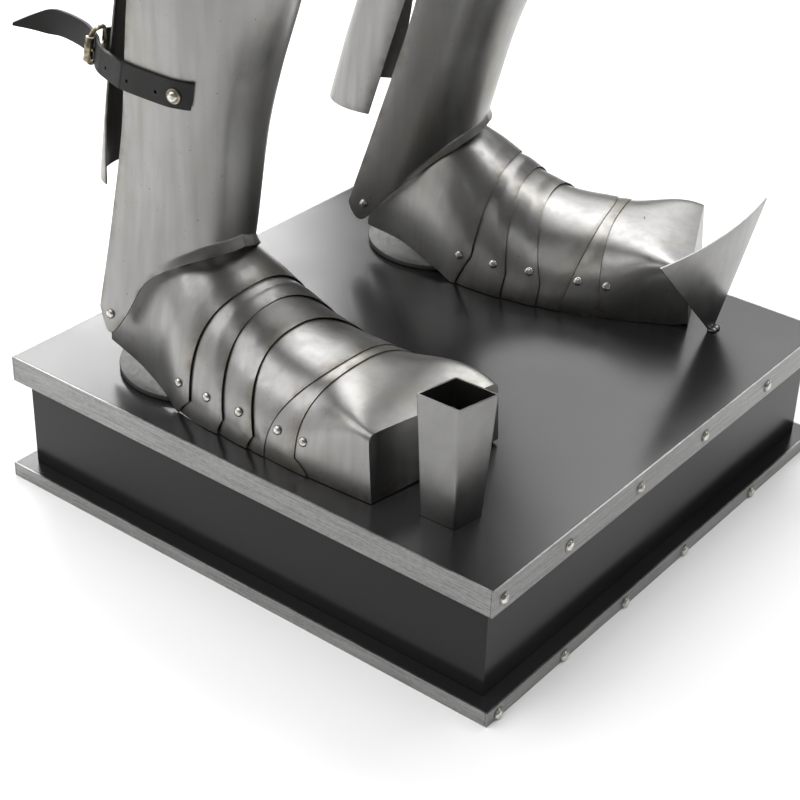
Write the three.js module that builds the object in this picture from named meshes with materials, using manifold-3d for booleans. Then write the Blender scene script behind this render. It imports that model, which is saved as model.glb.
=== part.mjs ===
// A suit of plate armour standing on a square display plinth.
// Millimetres, +Z up, origin at the centre of the plinth's underside.
// The figure faces -Y, so its right side is at -X and its left side at +X.
import * as THREE from 'three';
import { mergeVertices } from 'three/addons/utils/BufferGeometryUtils.js';
import Module from 'manifold-3d';

const wasm = await Module();
wasm.setup();

// ---------------------------------------------------------------- driving sizes
const GAP = 0.35;            // clearance between two pieces that touch
const PLATE = 1.5;           // thickness of every steel plate
const LAP = 3;               // how far a plate's free edge stands over the next plate

const PLINTH_SIZE = 500;     // side of the square top board
const BASE_SIZE = 509;       // side of the square bottom board
const BASE_BOARD = 13;       // height of the bottom board
const BODY_HEIGHT = 83;      // height of the black box between the boards
const TOP_BOARD = 23;        // height of the top board
const BODY_INSET = 10;       // how far the box stands back from the boards
const STRIP = 1.5;           // thickness of the steel strips round the boards
const DECK = BASE_BOARD + BODY_HEIGHT + TOP_BOARD;

const HEEL_DISC = { radius: 66, height: 5 };
// The ankle plate's lower edge, over the heel disc.
const HEEL_RISE = { back: -58, end: 28, toe: 42, high: 22, low: 6.2 };
const SOCKET = {
  bottom: [-194, -170], top: [-186, -165], sideBottom: 31, sideTop: 40, height: 102, turn: -9,
};
const REST = { tip: [184, -174], left: [82, -172], right: [262, -172], height: 98, bulge: 16 };

// The legs: ankle and knee are points on the leg's centre line, [x, y, height over the deck].
const LEGS = [
  {
    name: 'right', side: -1, turn: 0, foot: [-155, 124], calfDepth: 42, calfLow: 163,
    ankle: [-155, 124, 130], knee: [-126, 80, 470], hip: [-86, 98, 870],
  },
  {
    name: 'left', side: 1, turn: 15.7, foot: [163, 114], calfDepth: 57, calfLow: 135,
    ankle: [160, 124, 130], knee: [187, 29, 455], hip: [100, 98, 870],
  },
];
// The arms hang at the sides, slightly bent.
const ARMS = [
  {
    name: 'right', side: -1, turn: 0,
    shoulder: [-198, 100, 1405], elbow: [-256, 108, 1135], wrist: [-268, 66, 890], tips: [-268, 34, 700],
  },
  {
    name: 'left', side: 1, turn: 0,
    shoulder: [214, 100, 1405], elbow: [272, 108, 1135], wrist: [284, 66, 890], tips: [284, 34, 700],
  },
];
const TRUNK = { x: 8, y: 100 };          // the vertical line through waist, chest, neck and head
const VISOR_PIVOT = { f: 6, h: 1692 };   // the temple pins, forward of the trunk line and over the deck

// ---------------------------------------------------------------- tables of sections
const table = (columns, rows) => rows.map((row) => Object.fromEntries(columns.map((c, i) => [c, row[i]])));

// A limb section at height h: half width to the side, depth to the front and back, all from the
// limb's centre line. roundFront and roundBack are 1 for an ellipse and less for a squarer curve.
const LIMB = ['h', 'side', 'front', 'back', 'roundFront', 'roundBack'];

const GREAVE_FRONT = table(LIMB, [
  [28, 53, 50, 75, 1, 0.5],
  [60, 52.5, 50, 75, 1, 0.5],
  [130, 50, 51, 75, 1, 0.5],
  [214, 50, 46.5, 75, 1, 0.5],
  [264, 53, 49, 78, 1, 0.5],
  [330, 58, 58, 84, 1, 0.55],
  [400, 60, 61, 84, 1, 0.6],
  [462, 57, 59, 76, 1, 0.6],
]);
// The calf plate is a half round behind a line CALF_SHIFT behind the leg's centre line. Its depth at
// mid calf is the leg's calfDepth; depth here is the share of that, and the outer edge runs back
// from the line as gapped, where the strap spans the opening to the front plate.
const CALF_SHIFT = -46;
const CALF_ROUND = 0.9;      // 1 is an ellipse, less is squarer
const GREAVE_BACK = table(['h', 'side', 'depth', 'gapped'], [
  [130, 46, 0.95, 8],
  [150, 47, 0.96, 10],
  [190, 49, 0.99, 17],
  [240, 51, 1, 25],
  [330, 54, 1, 32],
  [400, 54, 0.9, 28],
  [440, 51, 0.78, 20],
]);
const CUISSE = table(LIMB, [
  [500, 62, 62, 62, 1, 0.9],
  [580, 68, 70, 68, 1, 0.9],
  [680, 78, 82, 78, 1, 0.9],
  [780, 82, 88, 82, 1, 0.9],
]);
const POLEYN = table(LIMB, [
  [392, 67, 68, 88, 1, 0.55],
  [420, 69, 72, 88, 1, 0.55],
  [475, 75, 85, 84, 0.95, 0.6],
  [530, 72, 76, 76, 1, 0.7],
  [556, 72, 75, 76, 1, 0.7],
]);
const REREBRACE = table(LIMB, [
  [1170, 48, 50, 50, 1, 1],
  [1250, 52, 55, 55, 1, 1],
  [1325, 53, 57, 57, 1, 1],
]);
const COUTER = table(LIMB, [
  [1078, 50, 52, 52, 1, 1],
  [1102, 54, 56, 57, 1, 1],
  [1135, 60, 62, 66, 1, 0.85],
  [1168, 57, 59, 60, 1, 1],
  [1192, 55, 57, 57, 1, 1],
]);
const VAMBRACE = table(LIMB, [
  [908, 30, 32, 32, 1, 1],
  [960, 34, 37, 37, 1, 1],
  [1040, 43, 46, 46, 1, 1],
  [1098, 44, 46, 46, 1, 1],
]);
const GAUNTLET = table(LIMB, [
  [704, 2, 8, 6, 0.9, 0.9],
  [706, 9, 24, 22, 0.85, 0.85],
  [716, 15, 34, 32, 0.85, 0.85],
  [750, 19, 42, 39, 0.8, 0.8],
  [800, 22, 47, 44, 0.8, 0.8],
  [850, 26, 45, 43, 0.85, 0.85],
  [888, 33, 38, 38, 1, 1],
  [925, 42, 45, 45, 1, 1],
  [968, 52, 56, 56, 1, 1],
]);
const TRUNK_FORM = table(LIMB, [
  [1000, 150, 112, 100, 1, 0.9],
  [1060, 138, 106, 92, 1, 0.9],
  [1120, 142, 118, 94, 1, 0.9],
  [1200, 160, 138, 106, 0.95, 0.85],
  [1290, 172, 140, 116, 0.9, 0.8],
  [1360, 166, 124, 110, 0.9, 0.8],
  [1410, 138, 98, 92, 0.95, 0.9],
  [1440, 106, 80, 78, 1, 1],
]);
const GORGET = table(LIMB, [
  [1372, 136, 106, 96, 1, 1],
  [1400, 118, 90, 84, 1, 1],
  [1432, 90, 74, 70, 1, 1],
  [1458, 68, 66, 64, 1, 1],
  [1525, 65, 65, 65, 1, 1],
]);
// The skirt below the waist is made of hoops, each standing over the one above it.
const FAULD_HOOPS = { count: 4, top: 1018, bottom: 852, step: LAP };
const FAULD = table(LIMB, [
  [852, 190, 172, 158, 0.95, 0.9],
  [930, 167, 140, 127, 0.95, 0.9],
  [1000, 143, 105.5, 94, 1, 0.9],
  [1020, 140, 102.5, 91, 1, 0.9],
]);
const PAULDRON = table(LIMB, [
  [1285, 76, 78, 78, 1, 1],
  [1330, 82, 86, 86, 1, 1],
  [1380, 82, 86, 86, 1, 1],
  [1425, 70, 72, 72, 1, 1],
  [1455, 46, 46, 46, 1, 1],
  [1466, 22, 22, 22, 1, 1],
  [1470, 2, 2, 2, 1, 1],
]);
// In front, the crown keeps a radius of about 103 round the temple pins, so the visor swings over it.
const SKULL = table(LIMB, [
  [1508, 76, 80, 82, 1, 1],
  [1560, 82, 86, 97, 1, 1],
  [1640, 88, 97, 108, 1, 1],
  [1692, 88, 109, 106, 1, 1],
  [1750, 72, 91, 88, 1, 1],
  [1780, 46, 59, 58, 1, 1],
  [1792, 25, 30, 34, 1, 1],
  [1797, 2, 2, 3, 1, 1],
]);
const VISOR = table(LIMB, [
  [1512, 82, 98, 96, 0.9, 1],
  [1550, 89, 124, 104, 1, 1],
  [1590, 92, 140, 106, 1.1, 1],
  [1630, 92, 126, 106, 1, 1],
  [1660, 92, 115, 106, 1, 1],
  [1692, 92, 114, 106, 1, 1],
  [1712, 92, 112, 106, 1, 1],
]);

// Sabaton sections stand across the foot at f, forward of the heel disc's centre. The arch runs from
// the outer edge over the top to the inner edge; bend and rise are below 1 for a squarer arch.
const SABATON = table(['f', 'outer', 'inner', 'top', 'bendOuter', 'bendInner', 'riseOuter', 'riseInner'], [
  [-58, 45, 40, 118, 0.8, 0.8, 0.72, 0.8],
  [-20, 49, 45, 130, 0.8, 0.8, 0.72, 0.8],
  [10, 56, 60, 134, 0.8, 0.9, 0.72, 0.9],
  [40, 66, 74, 121, 0.8, 0.95, 0.72, 0.95],
  [67, 69, 81, 104, 0.8, 1, 0.72, 1],
  [110, 70, 86, 77, 0.8, 1, 0.72, 1],
  [165, 71, 85, 69, 0.75, 0.95, 0.7, 0.95],
  [215, 69, 76, 66, 0.5, 0.6, 0.5, 0.6],
  [266, 66, 64, 60, 0.28, 0.34, 0.3, 0.36],
]);
// The line of each plate's front edge: where it meets the deck outside and inside, and at the crest.
const SABATON_EDGES = {
  heel: { outer: -56, crest: 30, inner: -56, tip: 0 },
  ankle: { outer: 50, crest: 67, inner: 57, tip: 8 },
  lame_1: { outer: 88, crest: 84, inner: 101, tip: 8 },
  lame_2: { outer: 120, crest: 110, inner: 136, tip: 8 },
  vamp: { outer: 138, crest: 170, inner: 160, tip: 0 },
  toe_band: { outer: 168, crest: 175, inner: 186, tip: -12 },
  toe_front: { outer: 241, crest: 260, inner: 263, tip: 0 },
};
// How far each plate runs on under the one behind it, and how far its two edges stand over the form.
const SABATON_LAPS = {
  ankle: { tuck: 0, back: 0, front: LAP + 0.3 },
  lame: { tuck: 12, back: 0, front: LAP },
  vamp: { tuck: 12, back: -1, front: LAP + PLATE },
  toe_band: { tuck: 10, back: 2.2, front: 2.2 },
  toe_cap: { tuck: 6, back: 0, front: 0 },
};

// ---------------------------------------------------------------- small tools
const DEG = Math.PI / 180;
const V = (x, y, z) => new THREE.Vector3(x, y, z);
const mix = (a, b, t) => a + (b - a) * t;
const spread = (from, to, count) => Array.from({ length: count + 1 }, (_, i) => mix(from, to, i / count));
const power = (x, e) => Math.sign(x) * Math.abs(x) ** e;

// Every column of a table at a place between its rows, on a smooth curve through the rows.
function sample(rows, key, at) {
  const last = rows.length - 1;
  let i = 0;
  while (i < last - 1 && at > rows[i + 1][key]) i += 1;
  const span = rows[i + 1][key] - rows[i][key];
  const t = Math.min(1.1, Math.max(-0.1, (at - rows[i][key]) / span));
  const out = {};
  for (const column of Object.keys(rows[0])) {
    const slope = (k) => {
      const a = rows[Math.max(0, k - 1)];
      const b = rows[Math.min(last, k + 1)];
      return ((b[column] - a[column]) / (b[key] - a[key])) * span;
    };
    const [p, q, m, n] = [rows[i][column], rows[i + 1][column], slope(i), slope(i + 1)];
    out[column] = (2 * t ** 3 - 3 * t ** 2 + 1) * p + (t ** 3 - 2 * t ** 2 + t) * m
      + (3 * t ** 2 - 2 * t ** 3) * q + (t ** 3 - t ** 2) * n;
  }
  return out;
}

// A frame that follows a limb's centre line: o outward, f forward, h over the deck.
function limb(side, turn, low, high) {
  const [s, c] = [Math.sin(turn * DEG), Math.cos(turn * DEG)];
  return (o, f, h) => {
    const t = (h - low[2]) / (high[2] - low[2]);
    return V(
      mix(low[0], high[0], t) + o * side * c + f * side * s,
      mix(low[1], high[1], t) + o * s - f * c,
      h,
    );
  };
}

// A point of a limb form: angle 0 is outward, 90 forward, 180 inward, 270 back.
function around(rows, angle, h, out) {
  const row = sample(rows, 'h', h);
  const [c, s] = [Math.cos(angle * DEG), Math.sin(angle * DEG)];
  const front = s >= 0;
  const round = front ? row.roundFront : row.roundBack;
  return [power(c, round) * (row.side + out), power(s, round) * ((front ? row.front : row.back) + out)];
}

// A closed plate from a grid of outer points, its inner face the plate's thickness inside along the
// surface's normals. wrap closes the grid round, pole closes its last row to one point.
function shell(grid, { wrap = false, pole = false, thick = PLATE } = {}) {
  const rows = grid.length;
  const cols = grid[0].length;
  const column = (j) => (wrap ? (j + cols) % cols : Math.min(cols - 1, Math.max(0, j)));
  const along = (i, j) => grid[Math.min(rows - 1, i + 1)][j].clone().sub(grid[Math.max(0, i - 1)][j]);
  const across = (i, j) => grid[i][column(j + 1)].clone().sub(grid[i][column(j - 1)]);
  const middle = V(0, 0, 0);
  grid.flat().forEach((p) => middle.addScaledVector(p, 1 / (rows * cols)));
  const normals = grid.map((row, i) => row.map((p, j) => across(i, j).cross(along(i, j)).normalize()));
  let votes = 0;
  grid.forEach((row, i) => row.forEach((p, j) => {
    votes += Math.sign(normals[i][j].dot(p.clone().sub(middle)));
  }));
  const outward = Math.sign(votes);
  const tip = rows - 1;
  if (pole) {
    const mean = V(0, 0, 0);
    normals[tip - 1].forEach((n) => mean.add(n));
    normals[tip].forEach((n) => n.copy(mean).normalize());
  }
  const inner = grid.map((row, i) => row.map((p, j) => (
    p.clone().addScaledVector(normals[i][j], -outward * thick)
  )));
  const points = [];
  const faces = [];
  const index = (layer, i, j) => {
    if (pole && i === tip) return 2 * tip * cols + layer;
    return (layer * (pole ? tip : rows) + i) * cols + column(j);
  };
  [grid, inner].forEach((layer) => layer.forEach((row, i) => {
    if (!pole || i < tip) points.push(...row);
  }));
  if (pole) points.push(grid[tip][0], inner[tip][0]);
  const quad = (a, b, c, d) => {
    if (new Set([a, b, c]).size === 3) faces.push([a, b, c]);
    if (new Set([a, c, d]).size === 3) faces.push([a, c, d]);
  };
  const steps = wrap ? cols : cols - 1;
  for (let i = 0; i < rows - 1; i += 1) {
    for (let j = 0; j < steps; j += 1) {
      quad(index(0, i, j), index(0, i, j + 1), index(0, i + 1, j + 1), index(0, i + 1, j));
      quad(index(1, i, j), index(1, i + 1, j), index(1, i + 1, j + 1), index(1, i, j + 1));
    }
  }
  for (let j = 0; j < steps; j += 1) {
    quad(index(0, 0, j + 1), index(0, 0, j), index(1, 0, j), index(1, 0, j + 1));
    if (!pole) quad(index(0, tip, j), index(0, tip, j + 1), index(1, tip, j + 1), index(1, tip, j));
  }
  if (!wrap) {
    for (let i = 0; i < rows - 1; i += 1) {
      quad(index(0, i, 0), index(0, i + 1, 0), index(1, i + 1, 0), index(1, i, 0));
      quad(index(0, i + 1, cols - 1), index(0, i, cols - 1), index(1, i, cols - 1), index(1, i + 1, cols - 1));
    }
  }
  return solid(points, faces);
}

// A geometry from points and faces, turned so that its faces point out.
function solid(points, faces) {
  let volume = 0;
  for (const [a, b, c] of faces) volume += points[a].dot(points[b].clone().cross(points[c]));
  const turned = volume < 0 ? faces.map(([a, b, c]) => [a, c, b]) : faces;
  const geometry = new THREE.BufferGeometry();
  geometry.setAttribute('position', new THREE.Float32BufferAttribute(points.flatMap((p) => p.toArray()), 3));
  geometry.setIndex(turned.flat());
  geometry.computeVertexNormals();
  return geometry;
}

// An edge line given by its height at some angles away from the front of a limb.
function edge(rows) {
  const marks = table(['away', 'h'], rows);
  return (angle) => {
    const away = Math.min(marks.at(-1).away, Math.abs(angle - 90));
    const i = Math.max(0, marks.findIndex((m) => m.away >= away) - 1);
    const t = (away - marks[i].away) / (marks[i + 1].away - marks[i].away);
    const ease = t * t * (3 - 2 * t);
    return mix(marks[i].h, marks[i + 1].h, ease);
  };
}

// A plate on a limb form, between two edge lines and two angles.
function plate({ frame, form, low, high, angles, steps, out = () => 0, wrap = false, pole = false }) {
  const level = (line, angle) => (typeof line === 'function' ? line(angle) : line);
  const grid = steps.map((t) => angles.map((angle) => {
    const h = mix(level(low, angle), level(high, angle), t);
    const [o, f] = around(form, angle, h, out(h, angle));
    return frame(o, f, h);
  }));
  return shell(grid, { wrap, pole });
}

function manifold(geometry) {
  const bare = geometry.clone();
  const extra = Object.keys(bare.attributes).filter((name) => name !== 'position');
  extra.forEach((name) => bare.deleteAttribute(name));
  const merged = mergeVertices(bare, 1e-4);
  return new wasm.Manifold(new wasm.Mesh({
    numProp: 3,
    vertProperties: new Float32Array(merged.attributes.position.array),
    triVerts: new Uint32Array(merged.index.array),
  }));
}

function fromManifold(body) {
  const mesh = body.getMesh();
  const geometry = new THREE.BufferGeometry();
  geometry.setAttribute('position', new THREE.Float32BufferAttribute(mesh.vertProperties, 3));
  geometry.setIndex([...mesh.triVerts]);
  geometry.computeVertexNormals();
  return geometry;
}

// ---------------------------------------------------------------- materials
const paint = (color, roughness, metalness) => () => (
  new THREE.MeshStandardMaterial({ color, roughness, metalness })
);
const steel = paint(0x8f8c86, 0.38, 1);
const blackBoard = paint(0x0b0b0c, 0.28, 0);
const leather = paint(0x1a1918, 0.6, 0);
const brass = paint(0x8d7f63, 0.35, 1);
const darkSteel = paint(0x3c3c3e, 0.5, 1);

const suit = new THREE.Group();
const figure = new THREE.Group();
figure.position.z = DECK;
suit.add(figure);

function add(parent, name, geometry, material) {
  const mesh = new THREE.Mesh(geometry, material());
  mesh.name = name;
  parent.add(mesh);
  return mesh;
}

// ---------------------------------------------------------------- the plinth
function box(width, depth, height, x, y, z) {
  return new THREE.BoxGeometry(width, depth, height).translate(x, y, z + height / 2);
}

function strips(level, size, z, height) {
  const half = size / 2;
  const long = size;
  const short = size - 2 * (STRIP + GAP);
  const line = half - STRIP / 2;
  const sides = table(['name', 'width', 'depth', 'x', 'y'], [
    ['front', long, STRIP, 0, -line],
    ['back', long, STRIP, 0, line],
    ['right', STRIP, short, -line, 0],
    ['left', STRIP, short, line, 0],
  ]);
  for (const s of sides) {
    add(suit, `strip_${level}_${s.name}`, box(s.width, s.depth, height, s.x, s.y, z), steel);
  }
}

function plinth() {
  const board = PLINTH_SIZE - 2 * (STRIP + GAP);
  const base = BASE_SIZE - 2 * (STRIP + GAP);
  const body = PLINTH_SIZE - 2 * BODY_INSET;
  add(suit, 'plinth_base_board', box(base, base, BASE_BOARD, 0, 0, 0), blackBoard);
  add(suit, 'plinth_body', box(body, body, BODY_HEIGHT - 2 * GAP, 0, 0, BASE_BOARD + GAP), blackBoard);
  add(suit, 'plinth_top_board', box(board, board, TOP_BOARD, 0, 0, DECK - TOP_BOARD), blackBoard);
  strips('base', BASE_SIZE, 0, BASE_BOARD);
  strips('top', PLINTH_SIZE, DECK - TOP_BOARD, TOP_BOARD);
}

// A tapered square socket of sheet steel, open at its top.
function poleSocket() {
  const turn = SOCKET.turn * DEG;
  const [u, w] = [[Math.cos(turn), Math.sin(turn)], [-Math.sin(turn), Math.cos(turn)]];
  const grid = spread(0, 1, 3).map((t) => {
    const half = mix(SOCKET.sideBottom, SOCKET.sideTop, t) / 2;
    const [x, y] = [0, 1].map((k) => mix(SOCKET.bottom[k], SOCKET.top[k], t));
    const corners = [[-1, -1], [1, -1], [1, 1], [-1, 1]];
    return corners.map(([a, b]) => V(
      x + (u[0] * a + w[0] * b) * half,
      y + (u[1] * a + w[1] * b) * half,
      GAP + t * SOCKET.height,
    ));
  });
  add(figure, 'pole_socket', shell(grid, { wrap: true, thick: PLATE * Math.SQRT2 }), steel);
}

// The rest for a shield's point: a shallow half cone of sheet steel standing on its tip.
function shieldRest() {
  const [tip, left, right] = [REST.tip, REST.left, REST.right];
  const tipWidth = 0.05;
  const grid = spread(0, 1, 3).map((t) => spread(-1, 1, 8).map((a) => {
    const size = mix(tipWidth, 1, t);
    const x = mix(tip[0], mix(left[0], right[0], (a + 1) / 2), size);
    const y = mix(tip[1], mix(left[1], right[1], (a + 1) / 2), size) - REST.bulge * size * (1 - a * a);
    return V(x, y, GAP + t * REST.height);
  }));
  add(figure, 'shield_rest', shell(grid), steel);
}

// ---------------------------------------------------------------- feet
function sabatonPoint(frame, angle, f, out) {
  const row = sample(SABATON, 'f', f);
  const [c, s] = [Math.cos(angle * DEG), Math.sin(angle * DEG)];
  const outer = c >= 0;
  const width = (outer ? row.outer : row.inner) + out;
  const base = footLine(f);
  const o = power(c, outer ? row.bendOuter : row.bendInner) * width;
  const z = power(s, outer ? row.riseOuter : row.riseInner) * (row.top - base + out);
  return frame(o, f, base + Math.max(0, z));
}

// The lower edge's height: the ankle plate clears the heel disc, the other plates stand on the deck.
function footLine(f) {
  const { back, end, toe, high, low } = HEEL_RISE;
  if (f > toe) return 2 * GAP;
  return f > end ? mix(low, 2 * GAP, (f - end) / (toe - end)) : mix(high, low, (f - back) / (end - back));
}

function sabatonEdge(line, angle) {
  const s = Math.sin(angle * DEG);
  const foot = mix(line.outer, line.inner, angle / 180);
  const cutBack = line.tip * Math.max(0, 1 - s / 0.1);
  return mix(foot, line.crest, s ** 1.6) - cutBack;
}

function sabatonGrid(frame, behind, ahead, lap, rows) {
  const angles = [0, 5, 14, 30, 50, 70, 90, 110, 130, 150, 166, 175, 180];
  return spread(0, 1, rows).map((t) => angles.map((angle) => {
    const start = sabatonEdge(SABATON_EDGES[behind], angle);
    const back = start - lap.tuck;
    const front = sabatonEdge(SABATON_EDGES[ahead], angle);
    const f = mix(back, front, t);
    const shown = Math.min(1, Math.max(0, (f - start) / Math.max(8, front - start - 12)));
    return sabatonPoint(frame, angle, f, mix(lap.back, lap.front, shown));
  }));
}

// The toe cap ends in an upright face across the toes.
function toeCap(frame) {
  const grid = sabatonGrid(frame, 'toe_band', 'toe_front', SABATON_LAPS.toe_cap, 4);
  const rim = grid.at(-1);
  const foot = rim[0].clone().add(rim.at(-1)).multiplyScalar(0.5);
  for (const t of [0.5, 1]) {
    grid.push(rim.map((p) => {
      const moved = p.clone().lerp(foot, t);
      moved.z = Math.max(GAP, moved.z);
      return moved;
    }));
  }
  return shell(grid, { pole: true });
}

function foot(leg) {
  const frame = limb(leg.side, leg.turn, [...leg.foot, 0], [...leg.foot, 1]);
  const label = (piece) => `${piece}_${leg.name}`;
  const disc = new THREE.CylinderGeometry(HEEL_DISC.radius, HEEL_DISC.radius, HEEL_DISC.height, 24);
  disc.rotateX(90 * DEG).translate(leg.foot[0], leg.foot[1], GAP + HEEL_DISC.height / 2);
  add(figure, label('heel_disc'), disc, steel);
  const laps = SABATON_LAPS;
  const plates = table(['piece', 'behind', 'ahead', 'lap', 'rows'], [
    ['sabaton_ankle_plate', 'heel', 'ankle', laps.ankle, 5],
    ['sabaton_lame_1', 'ankle', 'lame_1', laps.lame, 3],
    ['sabaton_lame_2', 'lame_1', 'lame_2', laps.lame, 3],
    ['sabaton_vamp', 'lame_2', 'vamp', laps.vamp, 3],
    ['sabaton_toe_band', 'vamp', 'toe_band', laps.toe_band, 2],
  ]);
  for (const p of plates) {
    add(figure, label(p.piece), shell(sabatonGrid(frame, p.behind, p.ahead, p.lap, p.rows)), steel);
  }
  add(figure, label('sabaton_toe_cap'), toeCap(frame), steel);
}

// ---------------------------------------------------------------- legs
const FLANGE = { height: 9, out: 6 };
// The strap runs level; buckle is its place as an angle on the calf plate's form, where it stands clear
// of the plate. The free tail runs along the buckle's frame and away from the leg.
const STRAP = {
  height: 261,
  width: 20.5,
  thick: 2.5,
  off: 3,
  buckle: 60,
  clear: 13,
  tail: table(['along', 'away', 'h', 'width'], [
    [9, 11, 4, 1],
    [18, 25, 5, 1],
    [28, 50, 5, 1],
    [30, 66, 4, 1],
    [27, 80, 2, 0.62],
    [19, 94, 0, 0.1],
  ]),
};
// Half thicknesses of roller and wire, the frame's length and height at mid wire, and how square it is.
const BUCKLE = { roller: 3.6, wire: 1.9, reach: 21, rise: 28, lift: 3, square: 0.6, follow: 14 };
// The front plate's lower edge: its height at some angles away from the front of the leg.
const GREAVE_EDGE = table(['away', 'h'], [
  [0, 126],
  [29, 125],
  [50, 121],
  [62, 117],
  [79, 106],
  [90, 92],
  [93.4, 72],
  [96.7, 52],
  [102.6, 34],
  [108, 29],
  [112, 33],
]);
const GREAVE_LOW = (angle) => sample(GREAVE_EDGE, 'away', Math.abs(angle - 90)).h;

function greaveFlare(h, angle) {
  const above = h - GREAVE_LOW(angle);
  const front = Math.max(0, 1 - Math.abs(angle - 90) / 80);
  const curl = Math.max(0, 1 - above / FLANGE.height);
  return FLANGE.out * Math.min(1, front * 2) * curl ** 1.5;
}

// A point of the calf plate's form: angle 0 is outward, 90 back, 180 inward.
function calfPoint(leg, angle, h, out) {
  const row = sample(GREAVE_BACK, 'h', h);
  const [c, s] = [Math.cos(angle * DEG), Math.sin(angle * DEG)];
  const depth = row.depth * leg.calfDepth;
  return [power(c, CALF_ROUND) * (row.side + out), CALF_SHIFT - power(s, CALF_ROUND) * (depth + out)];
}

// The angle of the calf plate's outer edge.
function calfOuter(leg, h) {
  const row = sample(GREAVE_BACK, 'h', h);
  return Math.asin((row.gapped / (row.depth * leg.calfDepth)) ** (1 / CALF_ROUND)) / DEG;
}

function lowerLeg(leg) {
  const frame = limb(leg.side, leg.turn, leg.ankle, leg.knee);
  add(figure, `greave_front_${leg.name}`, plate({
    frame,
    form: GREAVE_FRONT,
    low: GREAVE_LOW,
    high: edge([[0, 462], [112, 440]]),
    angles: [-22, -18, -13, -7, -3, 0, 10, 26, 46, 68, 90, 112, 134, 154, 170, 180, 183, 187, 193],
    steps: [0, 0.027, 0.15, 0.32, 0.55, 0.78, 1],
    out: greaveFlare,
  }), steel);
  const grid = spread(leg.calfLow, 436, 5).map((h) => {
    return spread(calfOuter(leg, h), 180, 8).map((angle) => {
      const [o, f] = calfPoint(leg, angle, h, 0);
      return frame(o, f, h);
    });
  });
  add(figure, `greave_back_${leg.name}`, shell(grid), steel);
  greaveStrap(leg, frame);
  greaveBuckle(leg, frame);
}

// A bar swept along stations [o, f, h, width]: flat, thick across the path and standing width high.
function ribbon(frame, stations, thick) {
  const points = [];
  const faces = [];
  const last = stations.length - 1;
  stations.forEach(([o, f, h, width], i) => {
    const [a, b] = [stations[Math.max(0, i - 1)], stations[Math.min(last, i + 1)]];
    const run = Math.hypot(b[0] - a[0], b[1] - a[1]);
    const [x, y] = [(b[1] - a[1]) / run * thick / 2, (a[0] - b[0]) / run * thick / 2];
    for (const [k, up] of [[1, 1], [-1, 1], [-1, -1], [1, -1]]) {
      points.push(frame(o + k * x, f + k * y, h + up * width / 2));
    }
    if (i === last) return;
    for (let j = 0; j < 4; j += 1) {
      const [p, q] = [4 * i + j, 4 * i + (j + 1) % 4];
      faces.push([p, q, q + 4], [p, q + 4, p + 4]);
    }
  });
  const end = 4 * last;
  faces.push([0, 2, 1], [0, 3, 2], [end, end + 1, end + 2], [end, end + 2, end + 3]);
  return solid(points, faces);
}

// The direction in which a buckle's frame lies along the calf plate.
function buckleRun(leg) {
  const at = STRAP.buckle + BUCKLE.follow;
  const [a, b] = [at - 1, at + 1].map((angle) => calfPoint(leg, angle, STRAP.height, 0));
  const run = Math.hypot(b[0] - a[0], b[1] - a[1]);
  return [(b[0] - a[0]) / run, (b[1] - a[1]) / run];
}

// The strap is riveted to the front plate's outer side, crosses the opening, goes in under the buckle's
// roller and leaves it straight back, its tail free.
function greaveStrap(leg, frame) {
  const { height, width, thick, off, clear, buckle, tail } = STRAP;
  const front = [27, 10, 0, -6, -12, -18, -22].map((angle) => around(GREAVE_FRONT, angle, height, off));
  const first = calfOuter(leg, height) - 3;
  const stations = front.map(([o, f]) => [o, f, height, width]);
  const calf = spread(0, 1, 3).map((t) => calfPoint(leg, mix(first, buckle, t), height, mix(off, clear, t)));
  spread(0, 1, 3).forEach((t, i) => stations.push([...calf[i], height + t * BUCKLE.lift, width]));
  const [o, f] = calf.at(-1);
  const [x, y] = buckleRun(leg);
  for (const t of tail) {
    const tailO = o + t.along * x - t.away * y;
    const tailF = f + t.along * y + t.away * x;
    stations.push([tailO, tailF, height + t.h, width * t.width]);
  }
  add(figure, `greave_strap_${leg.name}`, ribbon(frame, stations, thick), leather);
}

// The buckle's frame lies along the calf plate with its roller outside the strap, and its bar in the
// fold of a short leather chape on the calf plate.
function greaveBuckle(leg, frame) {
  const { height, width, thick, off, clear, buckle } = STRAP;
  const { roller, reach, wire, rise, square, lift } = BUCKLE;
  const level = height + lift;
  const [ro, rf] = calfPoint(leg, buckle, height, clear + thick / 2 + 3 * GAP + roller);
  const [x, y] = buckleRun(leg);
  const torus = new THREE.TorusGeometry(1, 0.5, 6, 20);
  const place = torus.attributes.position;
  const points = [];
  for (let i = 0; i < place.count; i += 1) {
    const ring = Math.hypot(place.getX(i), place.getY(i));
    const grown = (ring - 1) * 2 * wire;
    const along = reach / 2 + power(place.getX(i) / ring, square) * (reach / 2 + grown);
    const up = power(place.getY(i) / ring, square) * (rise / 2 + grown);
    const across = place.getZ(i) * 2 * wire;
    points.push(frame(ro + x * along + y * across, rf + y * along - x * across, level + up));
  }
  const index = [...torus.index.array];
  const faces = index.flatMap((v, i) => (i % 3 ? [] : [index.slice(i, i + 3)]));
  add(figure, `greave_buckle_${leg.name}`, solid(points, faces), brass);
  const bar = reach + wire + GAP;
  const fold = [ro + x * bar, rf + y * bar];
  const seat = [98, 110, 124].map((angle) => calfPoint(leg, angle, height, off));
  const stations = [fold, ...seat].map(([o, f]) => [o, f, level, width]);
  add(figure, `greave_chape_${leg.name}`, ribbon(frame, stations, thick), leather);
}

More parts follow.
